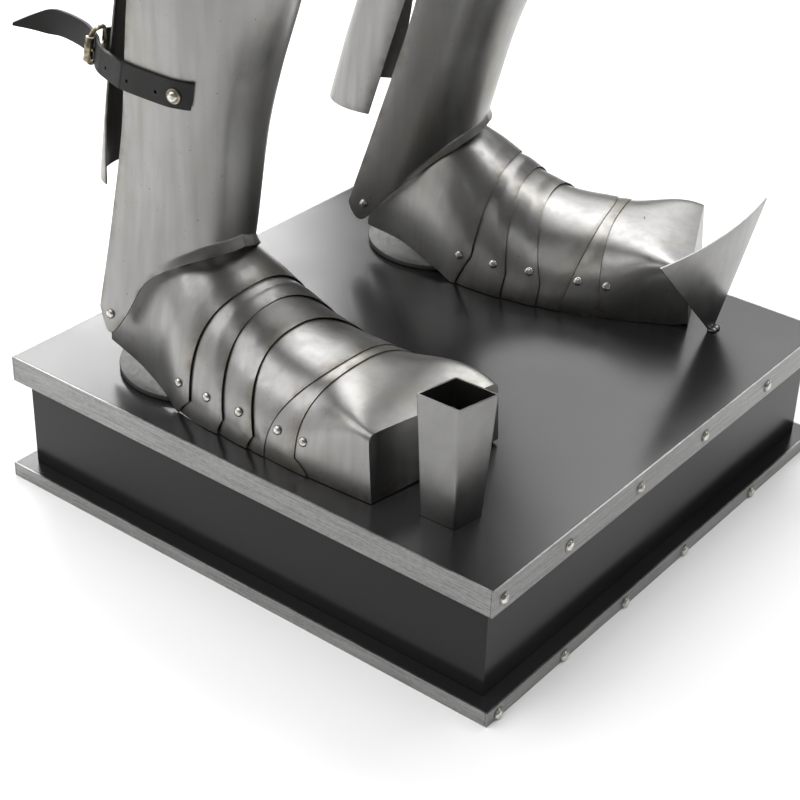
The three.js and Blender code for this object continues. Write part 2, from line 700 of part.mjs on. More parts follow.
function upperLeg(leg) {
  const knee = limb(leg.side, leg.turn * 0.7, leg.ankle, leg.knee);
  const thigh = limb(leg.side, leg.turn * 0.4, leg.knee, leg.hip);
  const joint = (o, f, h) => (h < leg.knee[2] ? knee(o, f, h) : thigh(o, f, h));
  const open = [-24, -10, 8, 28, 48, 69, 90, 111, 132, 152, 172, 190, 204];
  add(figure, `cuisse_${leg.name}`, plate({
    frame: thigh,
    form: CUISSE,
    low: 500,
    high: edge([[0, 770], [128, 800]]),
    angles: open,
    steps: spread(0, 1, 4),
  }), steel);
  add(figure, `poleyn_${leg.name}`, plate({
    frame: joint,
    form: POLEYN,
    low: 394,
    high: 554,
    angles: open,
    steps: spread(0, 1, 5),
  }), steel);
}

// ---------------------------------------------------------------- trunk
const trunk = limb(1, 0, [TRUNK.x, TRUNK.y, 0], [TRUNK.x, TRUNK.y, 1000]);
const ring = (count) => spread(0, 360, count).slice(0, -1);

function fauld() {
  const { count, top, bottom, step } = FAULD_HOOPS;
  const grid = [];
  for (let k = 0; k < count; k += 1) {
    for (const t of [0, 1]) {
      const h = mix(bottom, top, (k + t * 0.98) / count);
      grid.push(ring(18).map((angle) => {
        const [o, f] = around(FAULD, angle, h, step * (1 - t));
        return trunk(o, f, h);
      }));
    }
  }
  add(figure, 'fauld', shell(grid, { wrap: true }), steel);
}

function tassets() {
  const form = FAULD.map((row) => ({ ...row, side: row.side + 9, front: row.front + 9 }));
  for (const [name, from, to] of [['left', 30, 80], ['right', 100, 150]]) {
    add(figure, `tasset_${name}`, plate({
      frame: trunk,
      form,
      low: (angle) => 716 + 0.05 * (angle - (from + to) / 2) ** 2,
      high: 866,
      angles: spread(from, to, 6),
      steps: spread(0, 1, 3),
      out: (h) => (866 - h) * 0.02,
    }), steel);
  }
}

function torso() {
  const side = 1.2;
  const frontAngles = [side, 12, 24, 38, 54, 72, 90, 108, 126, 142, 156, 168, 180 - side];
  const backAngles = frontAngles.map((a) => a + 180);
  add(figure, 'breastplate', plate({
    frame: trunk,
    form: TRUNK_FORM,
    low: 1006,
    high: edge([[0, 1384], [32, 1396], [52, 1404], [66, 1340], [78, 1262], [90, 1238]]),
    angles: frontAngles,
    steps: spread(0, 1, 7),
  }), steel);
  const backHigh = edge([[0, 1400], [32, 1408], [52, 1404], [66, 1340], [78, 1262], [90, 1238]]);
  add(figure, 'backplate', plate({
    frame: trunk,
    form: TRUNK_FORM,
    low: 1006,
    high: (angle) => backHigh(angle - 180),
    angles: backAngles,
    steps: spread(0, 1, 6),
  }), steel);
  add(figure, 'gorget', plate({
    frame: trunk,
    form: GORGET,
    low: 1372,
    high: 1525,
    angles: ring(18),
    steps: [0, 0.2, 0.4, 0.56, 1],
    wrap: true,
  }), steel);
}

// ---------------------------------------------------------------- arms
function arm(part) {
  const upper = limb(part.side, part.turn, part.elbow, part.shoulder);
  const lower = limb(part.side, part.turn, part.wrist, part.elbow);
  const hand = limb(part.side, part.turn, part.tips, part.wrist);
  const elbow = (o, f, h) => (h < part.elbow[2] ? lower(o, f, h) : upper(o, f, h));
  const wrist = (o, f, h) => (h < part.wrist[2] ? hand(o, f, h) : lower(o, f, h));
  const name = part.name;
  add(figure, `pauldron_${name}`, plate({
    frame: upper,
    form: PAULDRON,
    low: (angle) => 1285 + 40 * Math.max(0, Math.abs(angle) - 90) / 55,
    high: 1470,
    angles: spread(-138, 145, 12),
    steps: [0, 0.25, 0.5, 0.75, 0.92, 1],
    pole: true,
  }), steel);
  add(figure, `rerebrace_${name}`, plate({
    frame: upper,
    form: REREBRACE,
    low: 1172,
    high: 1322,
    angles: ring(12),
    steps: spread(0, 1, 2),
    wrap: true,
  }), steel);
  add(figure, `couter_${name}`, plate({
    frame: elbow,
    form: COUTER,
    low: 1080,
    high: 1190,
    angles: ring(12),
    steps: spread(0, 1, 4),
    wrap: true,
  }), steel);
  add(figure, `vambrace_${name}`, plate({
    frame: lower,
    form: VAMBRACE,
    low: 910,
    high: 1096,
    angles: ring(12),
    steps: spread(0, 1, 3),
    wrap: true,
  }), steel);
  const levels = [966, 926, 890, 850, 800, 750, 718, 706, 704];
  const grid = levels.map((h) => ring(12).map((angle) => wrist(...around(GAUNTLET, angle, h, 0), h)));
  add(figure, `gauntlet_${name}`, shell(grid, { wrap: true, pole: true }), steel);
}

// ---------------------------------------------------------------- helmet
function helmet() {
  const opening = edge([[0, 1670], [46, 1670], [58, 1508], [180, 1508]]);
  add(figure, 'helmet_skull', plate({
    frame: trunk,
    form: SKULL,
    low: (angle) => opening(angle > 270 ? angle - 360 : angle),
    high: 1797,
    angles: [0, 16, 32, 44, 58, 74, 90, 106, 122, 136, 148, 164, 180, 205, 230, 255, 285, 310, 335],
    steps: [0, 0.25, 0.5, 0.7, 0.85, 0.96, 1],
    wrap: true,
    pole: true,
  }), steel);
  const visor = plate({
    frame: trunk,
    form: VISOR,
    low: edge([[0, 1514], [52, 1514], [76, 1670], [86, 1674], [95, 1684]]),
    high: edge([[0, 1654], [48, 1654], [64, 1703], [84, 1709], [95, 1700]]),
    angles: [-5, 2, 10, 20, 30, 42, 58, 74, 90, 106, 122, 138, 150, 160, 170, 178, 185],
    steps: spread(0, 1, 5),
  });
  const hinge = new THREE.Group();
  hinge.position.copy(trunk(0, VISOR_PIVOT.f, VISOR_PIVOT.h));
  figure.add(hinge);
  add(hinge, 'helmet_visor', visor.translate(...hinge.position.clone().negate().toArray()), steel);
}

// ---------------------------------------------------------------- inner frame of the stand
function tube(from, to, radius) {
  const axis = to.clone().sub(from);
  const geometry = new THREE.CylinderGeometry(radius, radius, axis.length(), 8);
  const place = new THREE.Quaternion().setFromUnitVectors(V(0, 1, 0), axis.clone().normalize());
  geometry.applyQuaternion(place);
  const centre = from.clone().add(to).multiplyScalar(0.5);
  return geometry.translate(centre.x, centre.y, centre.z);
}

function innerFrame() {
  const radius = 11;
  const post = HEEL_DISC.height + 4;
  const pieces = [];
  const pelvis = V(TRUNK.x, TRUNK.y, 900);
  for (const leg of LEGS) {
    const ankle = V(leg.ankle[0], leg.ankle[1] + 8, post);
    const knee = V(...leg.knee);
    const hip = V(...leg.hip);
    pieces.push(tube(ankle, knee, radius), tube(knee, hip, radius), tube(hip, pelvis, radius));
  }
  const [high, reach, crown] = [1345, 196, 1700];
  pieces.push(tube(pelvis, V(TRUNK.x, TRUNK.y, crown), radius));
  pieces.push(tube(V(TRUNK.x - reach, TRUNK.y, high), V(TRUNK.x + reach, TRUNK.y, high), radius));
  const welded = pieces.map(manifold).reduce((a, b) => a.add(b));
  add(figure, 'stand_inner_frame', fromManifold(welded), darkSteel);
}

plinth();
poleSocket();
shieldRest();
for (const leg of LEGS) {
  foot(leg);
  lowerLeg(leg);
  upperLeg(leg);
}
fauld();
tassets();
torso();
ARMS.forEach(arm);
helmet();
innerFrame();

export default suit;
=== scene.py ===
import math

import bmesh
import bpy
from mathutils import Euler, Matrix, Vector


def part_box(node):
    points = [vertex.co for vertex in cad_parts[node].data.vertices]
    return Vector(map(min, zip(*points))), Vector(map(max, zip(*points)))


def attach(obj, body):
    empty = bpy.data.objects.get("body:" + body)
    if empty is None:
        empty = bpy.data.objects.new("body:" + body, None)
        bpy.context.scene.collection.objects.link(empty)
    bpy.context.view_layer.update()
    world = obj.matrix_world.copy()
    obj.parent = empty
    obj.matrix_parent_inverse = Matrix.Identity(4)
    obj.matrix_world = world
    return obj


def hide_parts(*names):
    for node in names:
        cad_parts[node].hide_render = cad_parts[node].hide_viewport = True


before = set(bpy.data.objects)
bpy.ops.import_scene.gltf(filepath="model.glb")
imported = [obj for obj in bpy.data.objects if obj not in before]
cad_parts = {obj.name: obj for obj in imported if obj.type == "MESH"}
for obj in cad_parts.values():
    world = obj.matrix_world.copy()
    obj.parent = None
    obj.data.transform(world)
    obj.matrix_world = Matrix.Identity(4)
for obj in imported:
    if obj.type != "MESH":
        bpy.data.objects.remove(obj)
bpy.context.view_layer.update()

# Sizes below are millimetres. h is the height over the plinth's deck, f forward, o outward.
MM = 0.001
DEG = math.pi / 180
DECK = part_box("plinth_top_board")[1].z / MM
PLATE = 1.5         # thickness of the steel plates
THIN_PLATE = 0.8    # thickness of the sabatons' plates
GAP = 0.35          # clearance between pieces
LAP = 3             # how far a fauld hoop's lower edge stands proud
RIM = 7             # how far tarnish reaches in from a plate's edge
EASE = 0.3          # rounding of a plate's edges


# ---- tables of sections
class Row(dict):
    """Named values, read as attributes."""
    __getattr__ = dict.__getitem__


def table(columns, rows, *usual):
    """Rows with named columns; the usual values end a row that leaves them out."""
    return [Row(zip(columns, (*row, *usual[len(row) - len(columns):]))) for row in rows]


def by_name(rows):
    return {row.name: row for row in rows}


LEG = ("name", "side", "turn", "foot", "ankle", "knee", "hip", "calf_depth", "calf_low", "instep_drop")
LEGS = table(LEG, [
    ("right", -1, 0, (-155, 124), (-155, 124, 130), (-126, 80, 470), (-86, 98, 870), 42, 163, 0),
    ("left", 1, 15.7, (163, 114), (160, 124, 130), (187, 29, 455), (100, 98, 870), 57, 135, 6),
])
ARM = ("name", "side", "shoulder", "elbow", "wrist", "tips")
ARMS = table(ARM, [
    ("right", -1, (-198, 100, 1405), (-256, 108, 1135), (-268, 66, 890), (-268, 34, 700)),
    ("left", 1, (214, 100, 1405), (272, 108, 1135), (284, 66, 890), (284, 34, 700)),
])
TRUNK = (8, 100)    # x and y of the trunk's centre line

# Sections of the forms that plates lie on.
LIMB = ("h", "side", "front", "back", "round_front", "round_back")
GREAVE_FRONT = table(LIMB, [
    (28, 53, 50, 75, 1, 0.5),
    (60, 52.5, 50, 75, 1, 0.5),
    (130, 50, 51, 75, 1, 0.5),
    (214, 50, 46.5, 75, 1, 0.5),
    (264, 53, 49, 78, 1, 0.5),
    (330, 58, 58, 84, 1, 0.55),
    (400, 60, 61, 84, 1, 0.6),
    (462, 57, 59, 76, 1, 0.6),
], 1, 1)
# The greave's lower edge, as its height outside and inside: in front, at the shoulder, on the leg's widest
# line, on either side of the lobe's foot and at the back corner. Along is in degrees from the front as far
# as the widest line at 90, then 90 and the millimetres behind that line.
GREAVE_EDGE = table(("along", "outer", "inner"), [
    (0, 129, 129),
    (45, 124, 110),
    (90, 95, 60),
    (105, 60, 33),
    (120, 40, 40),
    (137, 60, 68),
])
CALF_SHIFT = -46
CALF_ROUND = 0.9
GREAVE_BACK = table(("h", "side", "depth", "gapped"), [
    (130, 46, 0.95, 8),
    (150, 47, 0.96, 10),
    (190, 49, 0.99, 17),
    (240, 51, 1, 25),
    (330, 54, 1, 32),
    (400, 54, 0.9, 28),
    (440, 51, 0.78, 20),
])
CUISSE = table(LIMB, [
    (500, 62, 62, 62, 1, 0.9),
    (580, 68, 70, 68, 1, 0.9),
    (680, 78, 82, 78, 1, 0.9),
    (780, 82, 88, 82, 1, 0.9),
], 1, 1)
POLEYN = table(LIMB, [
    (392, 67, 68, 88, 1, 0.55),
    (420, 69, 72, 88, 1, 0.55),
    (475, 75, 85, 84, 0.95, 0.6),
    (530, 72, 76, 76, 1, 0.7),
    (556, 72, 75, 76, 1, 0.7),
], 1, 1)
REREBRACE = table(LIMB, [
    (1170, 48, 50, 50),
    (1250, 52, 55, 55),
    (1325, 53, 57, 57),
], 1, 1)
COUTER = table(LIMB, [
    (1078, 50, 52, 52),
    (1102, 54, 56, 57),
    (1135, 60, 62, 66, 1, 0.85),
    (1168, 57, 59, 60),
    (1192, 55, 57, 57),
], 1, 1)
VAMBRACE = table(LIMB, [
    (908, 30, 32, 32),
    (960, 34, 37, 37),
    (1040, 43, 46, 46),
    (1098, 44, 46, 46),
], 1, 1)
GAUNTLET = table(LIMB, [
    (704, 2, 8, 6, 0.9, 0.9),
    (706, 9, 24, 22, 0.85, 0.85),
    (716, 15, 34, 32, 0.85, 0.85),
    (750, 19, 42, 39, 0.8, 0.8),
    (800, 22, 47, 44, 0.8, 0.8),
    (850, 26, 45, 43, 0.85, 0.85),
    (888, 33, 38, 38),
    (925, 42, 45, 45),
    (968, 52, 56, 56),
], 1, 1)
TRUNK_FORM = table(LIMB, [
    (1000, 150, 112, 100, 1, 0.9),
    (1060, 138, 106, 92, 1, 0.9),
    (1120, 142, 118, 94, 1, 0.9),
    (1200, 160, 138, 106, 0.95, 0.85),
    (1290, 172, 140, 116, 0.9, 0.8),
    (1360, 166, 124, 110, 0.9, 0.8),
    (1410, 138, 98, 92, 0.95, 0.9),
    (1440, 106, 80, 78),
], 1, 1)
GORGET = table(LIMB, [
    (1372, 136, 106, 96),
    (1400, 118, 90, 84),
    (1432, 90, 74, 70),
    (1458, 68, 66, 64),
    (1525, 65, 65, 65),
], 1, 1)
FAULD = table(LIMB, [
    (852, 190, 172, 158, 0.95, 0.9),
    (930, 167, 140, 127, 0.95, 0.9),
    (1000, 143, 105.5, 94, 1, 0.9),
    (1020, 140, 102.5, 91, 1, 0.9),
], 1, 1)
PAULDRON = table(LIMB, [
    (1285, 76, 78, 78),
    (1330, 82, 86, 86),
    (1380, 82, 86, 86),
    (1425, 70, 72, 72),
    (1455, 46, 46, 46),
    (1466, 22, 22, 22),
    (1470, 2, 2, 2),
], 1, 1)
SKULL = table(LIMB, [
    (1508, 76, 80, 82),
    (1560, 82, 86, 97),
    (1640, 88, 97, 108),
    (1692, 88, 109, 106),
    (1750, 72, 91, 88),
    (1780, 46, 59, 58),
    (1792, 25, 30, 34),
    (1797, 2, 2, 3),
], 1, 1)
VISOR = table(LIMB, [
    (1512, 82, 98, 96, 0.9, 1),
    (1550, 89, 124, 104),
    (1590, 92, 140, 106, 1.1, 1),
    (1630, 92, 126, 106),
    (1660, 92, 115, 106),
    (1692, 92, 114, 106),
    (1712, 92, 112, 106),
], 1, 1)
ARCH = ("f", "outer", "inner", "top", "bend_outer", "bend_inner", "rise_outer", "rise_inner")
SABATON = table(ARCH, [
    (-58, 45, 40, 118, 0.8, 0.8, 0.72, 0.8),
    (-20, 49, 45, 130, 0.8, 0.8, 0.74, 0.8),
    (10, 56, 60, 133, 0.8, 0.9, 0.76, 0.9),
    (40, 66, 74, 119, 0.8, 0.95, 0.76, 0.95),
    (67, 69, 81, 101, 0.8, 1, 0.76, 1),
    (110, 70, 86, 76, 0.8, 1, 0.74, 1),
    (165, 71, 85, 69, 0.75, 0.95, 0.7, 0.95),
    (215, 69, 76, 65, 0.6, 0.7, 0.6, 0.7),
    (266, 66, 64, 52, 0.5, 0.5, 0.5, 0.5),
])
# The front edge of each sabaton plate: its f at the foot outside, at the crest and at the foot inside,
# how it bends between them, its cut-back tips and how high the cut reaches outside and inside.
EDGE = ("name", "outer", "crest", "inner", "bend_outer", "bend_inner", "tip", "cut_outer", "cut_inner")
SABATON_EDGES = by_name(table(EDGE, [
    ("heel", -56, 30, -56, 1.6, 1.6, 0, 0.1, 0.1),
    ("ankle", 56, 69, 60, 2.5, 1.6, 13, 0.08, 0.3),
    ("lame_1", 96, 86, 102, 0.6, 0.9, 8, 0.1, 0.3),
    ("lame_2", 127, 110, 136, 1.1, 1.2, 8, 0.1, 0.3),
    ("vamp", 137, 166, 150, 1.4, 1, 0, 0.1, 0.3),
    ("toe_band", 168, 175, 186, 2, 1.3, -13, 0.08, 0.1),
]))
# The toe's flat front face: its f outside and inside, its lean back and the sharpness of its corners.
TOE_FRONT = Row(outer=241, inner=263, lean=4, corner=0.08)
# Each plate with the edges behind and ahead of it, its tuck under the plate behind, its stand over the
# form at both edges, its rows, and its rivets as f outside and inside the foot.
PLATES = ("piece", "behind", "ahead", "tuck", "back", "front", "rows", "rivets")
SABATON_PLATES = table(PLATES, [
    ("ankle_plate", "heel", "ankle", 0, 0, 2.2, 40, (44, 50)),
    ("lame_1", "ankle", "lame_1", 12, 0, 2.1, 16, (76, 84)),
    ("lame_2", "lame_1", "lame_2", 12, 0, 2, 16, (110, 118)),
    ("vamp", "lame_2", "vamp", 12, 0, 1.2, 24, ()),
    ("toe_band", "vamp", "toe_band", 10, 0.3, 1.1, 12, (149.5, 163)),
    ("toe_cap", "toe_band", "toe_front", 6, 0, 0, 34, (175, 189)),
])
# A plate reaches its full stand this far before its front edge, and never over less than the shortest run.
RISE = Row(before_edge=12, shortest=8)
# The lower edge over the heel disc, and how far behind and ahead of its top an instep's drop reaches.
HEEL_RISE = Row(back=-58, end=28, toe=42, high=22, low=6.2)
INSTEP = Row(f=50, back=75, front=190)


# ---- shapes
def mix(a, b, t):
    return a + (b - a) * t


def spread(start, end, count):
    return [mix(start, end, i / count) for i in range(count + 1)]


def power(x, e):
    return math.copysign(abs(x) ** e, x)


def sample(rows, key, at):
    """Every column of a table at a place between its rows, on a smooth curve through the rows."""
    last = len(rows) - 1
    i = 0
    while i < last - 1 and at > rows[i + 1][key]:
        i += 1
    low, high = rows[i], rows[i + 1]
    before, after = rows[max(0, i - 1)], rows[min(last, i + 2)]
    span = high[key] - low[key]
    t = min(1.1, max(-0.1, (at - low[key]) / span))
    a, b = 2 * t**3 - 3 * t**2 + 1, t**3 - 2 * t**2 + t
    c, d = 3 * t**2 - 2 * t**3, t**3 - t**2
    out = Row()
    for column in low:
        m = (high[column] - before[column]) / (high[key] - before[key]) * span
        n = (after[column] - low[column]) / (after[key] - low[key]) * span
        out[column] = a * low[column] + b * m + c * high[column] + d * n
    return out


def limb(side, turn, low, high):
    """A frame on a limb's centre line."""
    s, c = math.sin(turn * DEG), math.cos(turn * DEG)

    def place(o, f, h):
        t = (h - low[2]) / (high[2] - low[2])
        x = mix(low[0], high[0], t) + o * side * c + f * side * s
        y = mix(low[1], high[1], t) + o * s - f * c
        return Vector((x, y, h))

    return place


def around(rows, angle, h, out=0):
    """A point of a limb form: angle 0 is outward, 90 forward, 180 inward, 270 back."""
    row = sample(rows, "h", h)
    c, s = math.cos(angle * DEG), math.sin(angle * DEG)
    rounding = row["round_front" if s >= 0 else "round_back"]
    depth = row["front" if s >= 0 else "back"]
    return power(c, rounding) * (row.side + out), power(s, rounding) * (depth + out)


def skin(place, form, out=0):
    """A form's surface as a function of angle and height."""
    return lambda angle, h: place(*around(form, angle, h, out), h)


def net(point, rows, columns):
    """A grid of points from a function of each row's and column's number."""
    return [[point(row, column) for column in columns] for row in rows]


def bent(lower, upper, joint):
    return lambda o, f, h: (lower if h < joint[2] else upper)(o, f, h)


def toward(place, o, f=0):
    """The direction of a limb's outer side or front."""
    return place(o, f, 0) - place(0, 0, 0)


def circle(count):
    """The cosine and sine of turns spread evenly round a circle."""
    turns = [2 * math.pi * k / count for k in range(count)]
    return [(math.cos(a), math.sin(a)) for a in turns]


def even(surface, at, start, end, count, fineness=600):
    """Angles from start to end that lie evenly along a surface's section at a place."""
    fine = spread(start, end, fineness)
    points = [surface(angle, at) for angle in fine]
    run = [0.0]
    for p, q in zip(points, points[1:]):
        run.append(run[-1] + (q - p).length)
    found, i = [], 0
    for want in spread(0, run[-1], count):
        while i < len(run) - 2 and run[i + 1] < want:
            i += 1
        found.append(mix(fine[i], fine[i + 1], (want - run[i]) / max(1e-9, run[i + 1] - run[i])))
    return found


def eased_edge(rows):
    """An edge line: its height at some angles away from the front of a limb."""
    def line(angle):
        away = min(rows[-1][0], abs(angle - 90))
        i = max(0, next(k for k, r in enumerate(rows) if r[0] >= away) - 1)
        t = (away - rows[i][0]) / (rows[i + 1][0] - rows[i][0])
        return mix(rows[i][1], rows[i + 1][1], t * t * (3 - 2 * t))

    return line


def level(line, angle):
    return line(angle) if callable(line) else line


# ---- materials
class Nodes:
    """A material's node tree. Its plain colour and roughness are for viewers that skip the nodes."""

    def __init__(self, name, colour, roughness, metallic=0.0):
        self.material = bpy.data.materials.new(name)
        self.material.use_nodes = True
        self.tree = self.material.node_tree
        self.shader = self.tree.nodes["Principled BSDF"]
        self.give(self.shader, Base_Color=colour, Roughness=roughness, Metallic=metallic)
        self.place = self.tree.nodes.new("ShaderNodeTexCoord").outputs["Object"]

    def feed(self, socket, value):
        """Links a socket to another node's output, or sets its value."""
        if isinstance(value, bpy.types.NodeSocket):
            self.tree.links.new(value, socket)
        else:
            socket.default_value = (*value, 1) if socket.type == "RGBA" else value

    def give(self, node, **values):
        for name, value in values.items():
            self.feed(node.inputs[name.replace("_", " ")], value)

    def new(self, kind, **values):
        node = self.tree.nodes.new("ShaderNode" + kind)
        self.give(node, **values)
        return node

    def finish(self, **values):
        """Sets or links the shader's own inputs."""
        self.give(self.shader, **values)
        return self.material

    def noise(self, scale, detail=4.0, stretch=(1, 1, 1), roughness=0.55, shift=0.0):
        at = self.new("Mapping", Vector=self.place, Scale=stretch, Location=(shift, shift * 2, shift * 3))
        fine = {"Scale": scale, "Detail": detail, "Roughness": roughness}
        return self.new("TexNoise", Vector=at.outputs["Vector"], **fine).outputs["Fac"]

    def ramp(self, value, low, high, out_low, out_high):
        ends = {"From Min": low, "From Max": high, "To Min": out_low, "To Max": out_high}
        return self.new("MapRange", Value=value, **ends).outputs["Result"]

    def blend(self, factor, a, b):
        """A colour between two colours, each a tuple or a node's output."""
        node = self.new("Mix")
        node.data_type = "RGBA"
        self.give(node, Factor=factor)
        for name, value in (("A", a), ("B", b)):
            self.feed(next(s for s in node.inputs if s.name == name and s.type == "RGBA"), value)
        return next(s for s in node.outputs if s.type == "RGBA")

    def add(self, a, b, how="ADD"):
        node = self.new("Math")
        node.operation = how
        for value, socket in zip((a, b), node.inputs):
            self.feed(socket, value)
        return node.outputs["Value"]

    def bump(self, height, strength, distance, **under):
        node = self.new("Bump", Height=height, Strength=strength, Distance=distance, **under)
        return node.outputs["Normal"]

    def attribute(self, name):
        node = self.new("Attribute")
        node.attribute_name = name
        return node.outputs["Fac"]


def make_steel():
    """Hand-polished plate: soft streaks, a slightly wavy surface, olive tarnish and brown along the rims."""
    n = Nodes("plate_steel", (0.31, 0.305, 0.295), 0.3, 1.0)
    broad = n.noise(9, 3)
    streak = n.noise(110, 5, (1, 1, 0.07), shift=3)
    tarnish = n.noise(16, 5, shift=7)
    tone = n.blend(n.ramp(broad, 0.35, 0.65, 0, 1), (0.29, 0.287, 0.28), (0.345, 0.342, 0.335))
    tone = n.blend(n.ramp(streak, 0.42, 0.72, 0, 0.5), tone, (0.235, 0.231, 0.224))
    tone = n.blend(n.ramp(tarnish, 0.52, 0.72, 0, 0.5), tone, (0.27, 0.262, 0.205))
    rim = n.add(n.attribute("rim"), n.ramp(n.noise(60, 6, shift=9), 0.35, 0.7, 0.05, 1), "MULTIPLY")
    tone = n.blend(n.ramp(rim, 0.12, 0.8, 0, 0.75), tone, (0.15, 0.128, 0.09))
    specks = n.noise(330, 1, shift=5)
    tone = n.blend(n.ramp(specks, 0.76, 0.8, 0, 0.7), tone, (0.13, 0.085, 0.05))
    waves = n.bump(n.noise(26, 2, shift=1), 0.2, 0.0018)
    return n.finish(
        Base_Color=tone,
        Roughness=n.add(n.ramp(streak, 0.3, 0.7, 0.3, 0.39), n.ramp(rim, 0.2, 0.9, 0, 0.1)),
        Normal=n.bump(n.noise(330, 3, (1, 1, 0.2)), 0.05, 0.0004, Normal=waves),
    )


def make_sheet_steel():
    """The stand's steel: evener than the plates."""
    n = Nodes("stand_steel", (0.31, 0.31, 0.307), 0.3, 1.0)
    cloud = n.noise(24, 4)
    return n.finish(
        Base_Color=n.blend(n.ramp(cloud, 0.35, 0.7, 0, 1), (0.28, 0.279, 0.275), (0.215, 0.212, 0.205)),
        Roughness=n.ramp(n.noise(90, 3, (1, 1, 0.3)), 0.3, 0.7, 0.28, 0.36),
        Normal=n.bump(n.noise(24, 2, shift=2), 0.12, 0.0012),
    )


def make_disc_steel():
    """Dull mill-finished bar under the heels."""
    n = Nodes("disc_steel", (0.17, 0.17, 0.167), 0.62, 1.0)
    return n.finish(
        Base_Color=n.blend(n.noise(40, 4), (0.13, 0.13, 0.127), (0.2, 0.2, 0.197)),
        Roughness=n.ramp(n.noise(300, 3), 0.3, 0.7, 0.56, 0.7),
    )


def make_strip_steel():
    """Steel strip brushed along its length: hairlines lie level, broken here and there."""
    n = Nodes("strip_steel", (0.36, 0.36, 0.355), 0.38, 1.0)
    grain = n.noise(1500, 3, (0.02, 0.02, 1), 0.7)
    breaks = n.noise(220, 4, (1, 1, 3), shift=2)
    lines = n.ramp(n.add(grain, n.ramp(breaks, 0.3, 0.7, -0.08, 0.08)), 0.35, 0.62, 0, 1)
    return n.finish(
        Base_Color=n.blend(lines, (0.18, 0.18, 0.177), (0.33, 0.33, 0.325)),
        Roughness=n.ramp(grain, 0.3, 0.7, 0.32, 0.48),
        Normal=n.bump(grain, 0.35, 0.0003),
    )


def make_board(name, specular):
    """Black satin lacquer over board, with a faint orange-peel surface and some dust."""
    n = Nodes(name, (0.012, 0.012, 0.013), 0.2)
    dust = n.noise(600, 2, shift=4)
    return n.finish(
        Base_Color=n.blend(n.ramp(dust, 0.68, 0.8, 0, 0.35), (0.010, 0.010, 0.011), (0.09, 0.09, 0.09)),
        Roughness=n.ramp(n.noise(7, 4), 0.3, 0.7, 0.17, 0.27),
        Normal=n.bump(n.noise(240, 2), 0.05, 0.0004),
        Specular_IOR_Level=specular,
    )


def make_leather():
    """Black finished strap leather with fine pores and a low sheen."""
    n = Nodes("black_leather", (0.014, 0.013, 0.013), 0.55)
    pores = n.noise(1100, 4)
    return n.finish(
        Base_Color=n.blend(n.noise(60, 4), (0.009, 0.009, 0.009), (0.022, 0.021, 0.02)),
        Roughness=n.ramp(pores, 0.3, 0.7, 0.45, 0.64),
        Normal=n.bump(pores, 0.3, 0.0003),
        Specular_IOR_Level=0.25,
    )


def make_metal(name, light, dark, roughness):
    """A small fitting's metal, worn light and tarnished dark."""
    n = Nodes(name, light, roughness, 1.0)
    wear = n.noise(260, 4)
    return n.finish(
        Base_Color=n.blend(n.ramp(wear, 0.4, 0.68, 0, 1), light, dark),
        Roughness=n.ramp(wear, 0.3, 0.7, roughness - 0.06, roughness + 0.1),
        Normal=n.bump(n.noise(500, 3), 0.12, 0.0002),
    )


def make_paint():
    """Dark satin paint on the inner frame."""
    n = Nodes("dark_paint", (0.035, 0.035, 0.038), 0.45)
    return n.finish(
        Roughness=n.ramp(n.noise(40, 3), 0.3, 0.7, 0.38, 0.52),
        Normal=n.bump(n.noise(500, 3), 0.15, 0.0003),
    )


board = make_board("black_lacquer", 0.5)
side_board = make_board("black_lacquer_sides", 0.25)
strip_steel = make_strip_steel()
rivet_steel = make_metal("rivet_steel", (0.72, 0.71, 0.67), (0.34, 0.32, 0.27), 0.24)
# Each finish is a material and its slot.
STEEL = (make_steel(), "plate_steel")
STAND = (make_sheet_steel(), "stand_steel")
DISC = (make_disc_steel(), "stand_steel")
FRAME_PAINT = (make_paint(), "frame_steel")
LEATHER = (make_leather(), "black_leather")
BRASS = (make_metal("buckle_brass", (0.36, 0.315, 0.225), (0.12, 0.1, 0.065), 0.3), "buckle_metal")
RIVET = (rivet_steel, "plate_steel")
NAIL = (rivet_steel, "edge_strip")
# The nails' brims are a darker metal than their heads, so a dark ring shows round each head.
NAIL_BRIM = (make_metal("nail_brim", (0.36, 0.345, 0.31), (0.12, 0.105, 0.085), 0.34), "edge_strip")


# ---- meshes
def bands(rings, sides, first=0, closed=False):
    """Faces between rings of points that follow each other, perhaps back to the first ring."""
    faces = []
    for i in range(rings if closed else rings - 1):
        for k in range(sides):
            a, b = i * sides + k, i * sides + (k + 1) % sides
            face = (a, b, (b + sides) % (rings * sides), (a + sides) % (rings * sides))
            faces.append([first + p for p in face])
    return faces


def caps(rings, sides):
    """Faces that close the first and the last ring."""
    return [list(range(sides)), [(rings - 1) * sides + k for k in reversed(range(sides))]]


def add_object(name, data):
    obj = bpy.data.objects.new(name, data)
    bpy.context.scene.collection.objects.link(obj)
    return obj


def new_piece(name, mesh, finish, body, *nodes):
    material, slot = finish
    obj = add_object(name, mesh)
    mesh.materials.append(material)
    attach(obj, body)
    if nodes:
        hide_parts(*nodes)
    return obj


def to_mesh(name, points, faces):
    """A mesh in metres from points in millimetres over the deck."""
    mesh = bpy.data.meshes.new(name)
    mesh.from_pydata([(p[0] * MM, p[1] * MM, (p[2] + DECK) * MM) for p in points], [], faces)
    mesh.update()
    mesh.polygons.foreach_set("use_smooth", [True] * len(mesh.polygons))
    return mesh


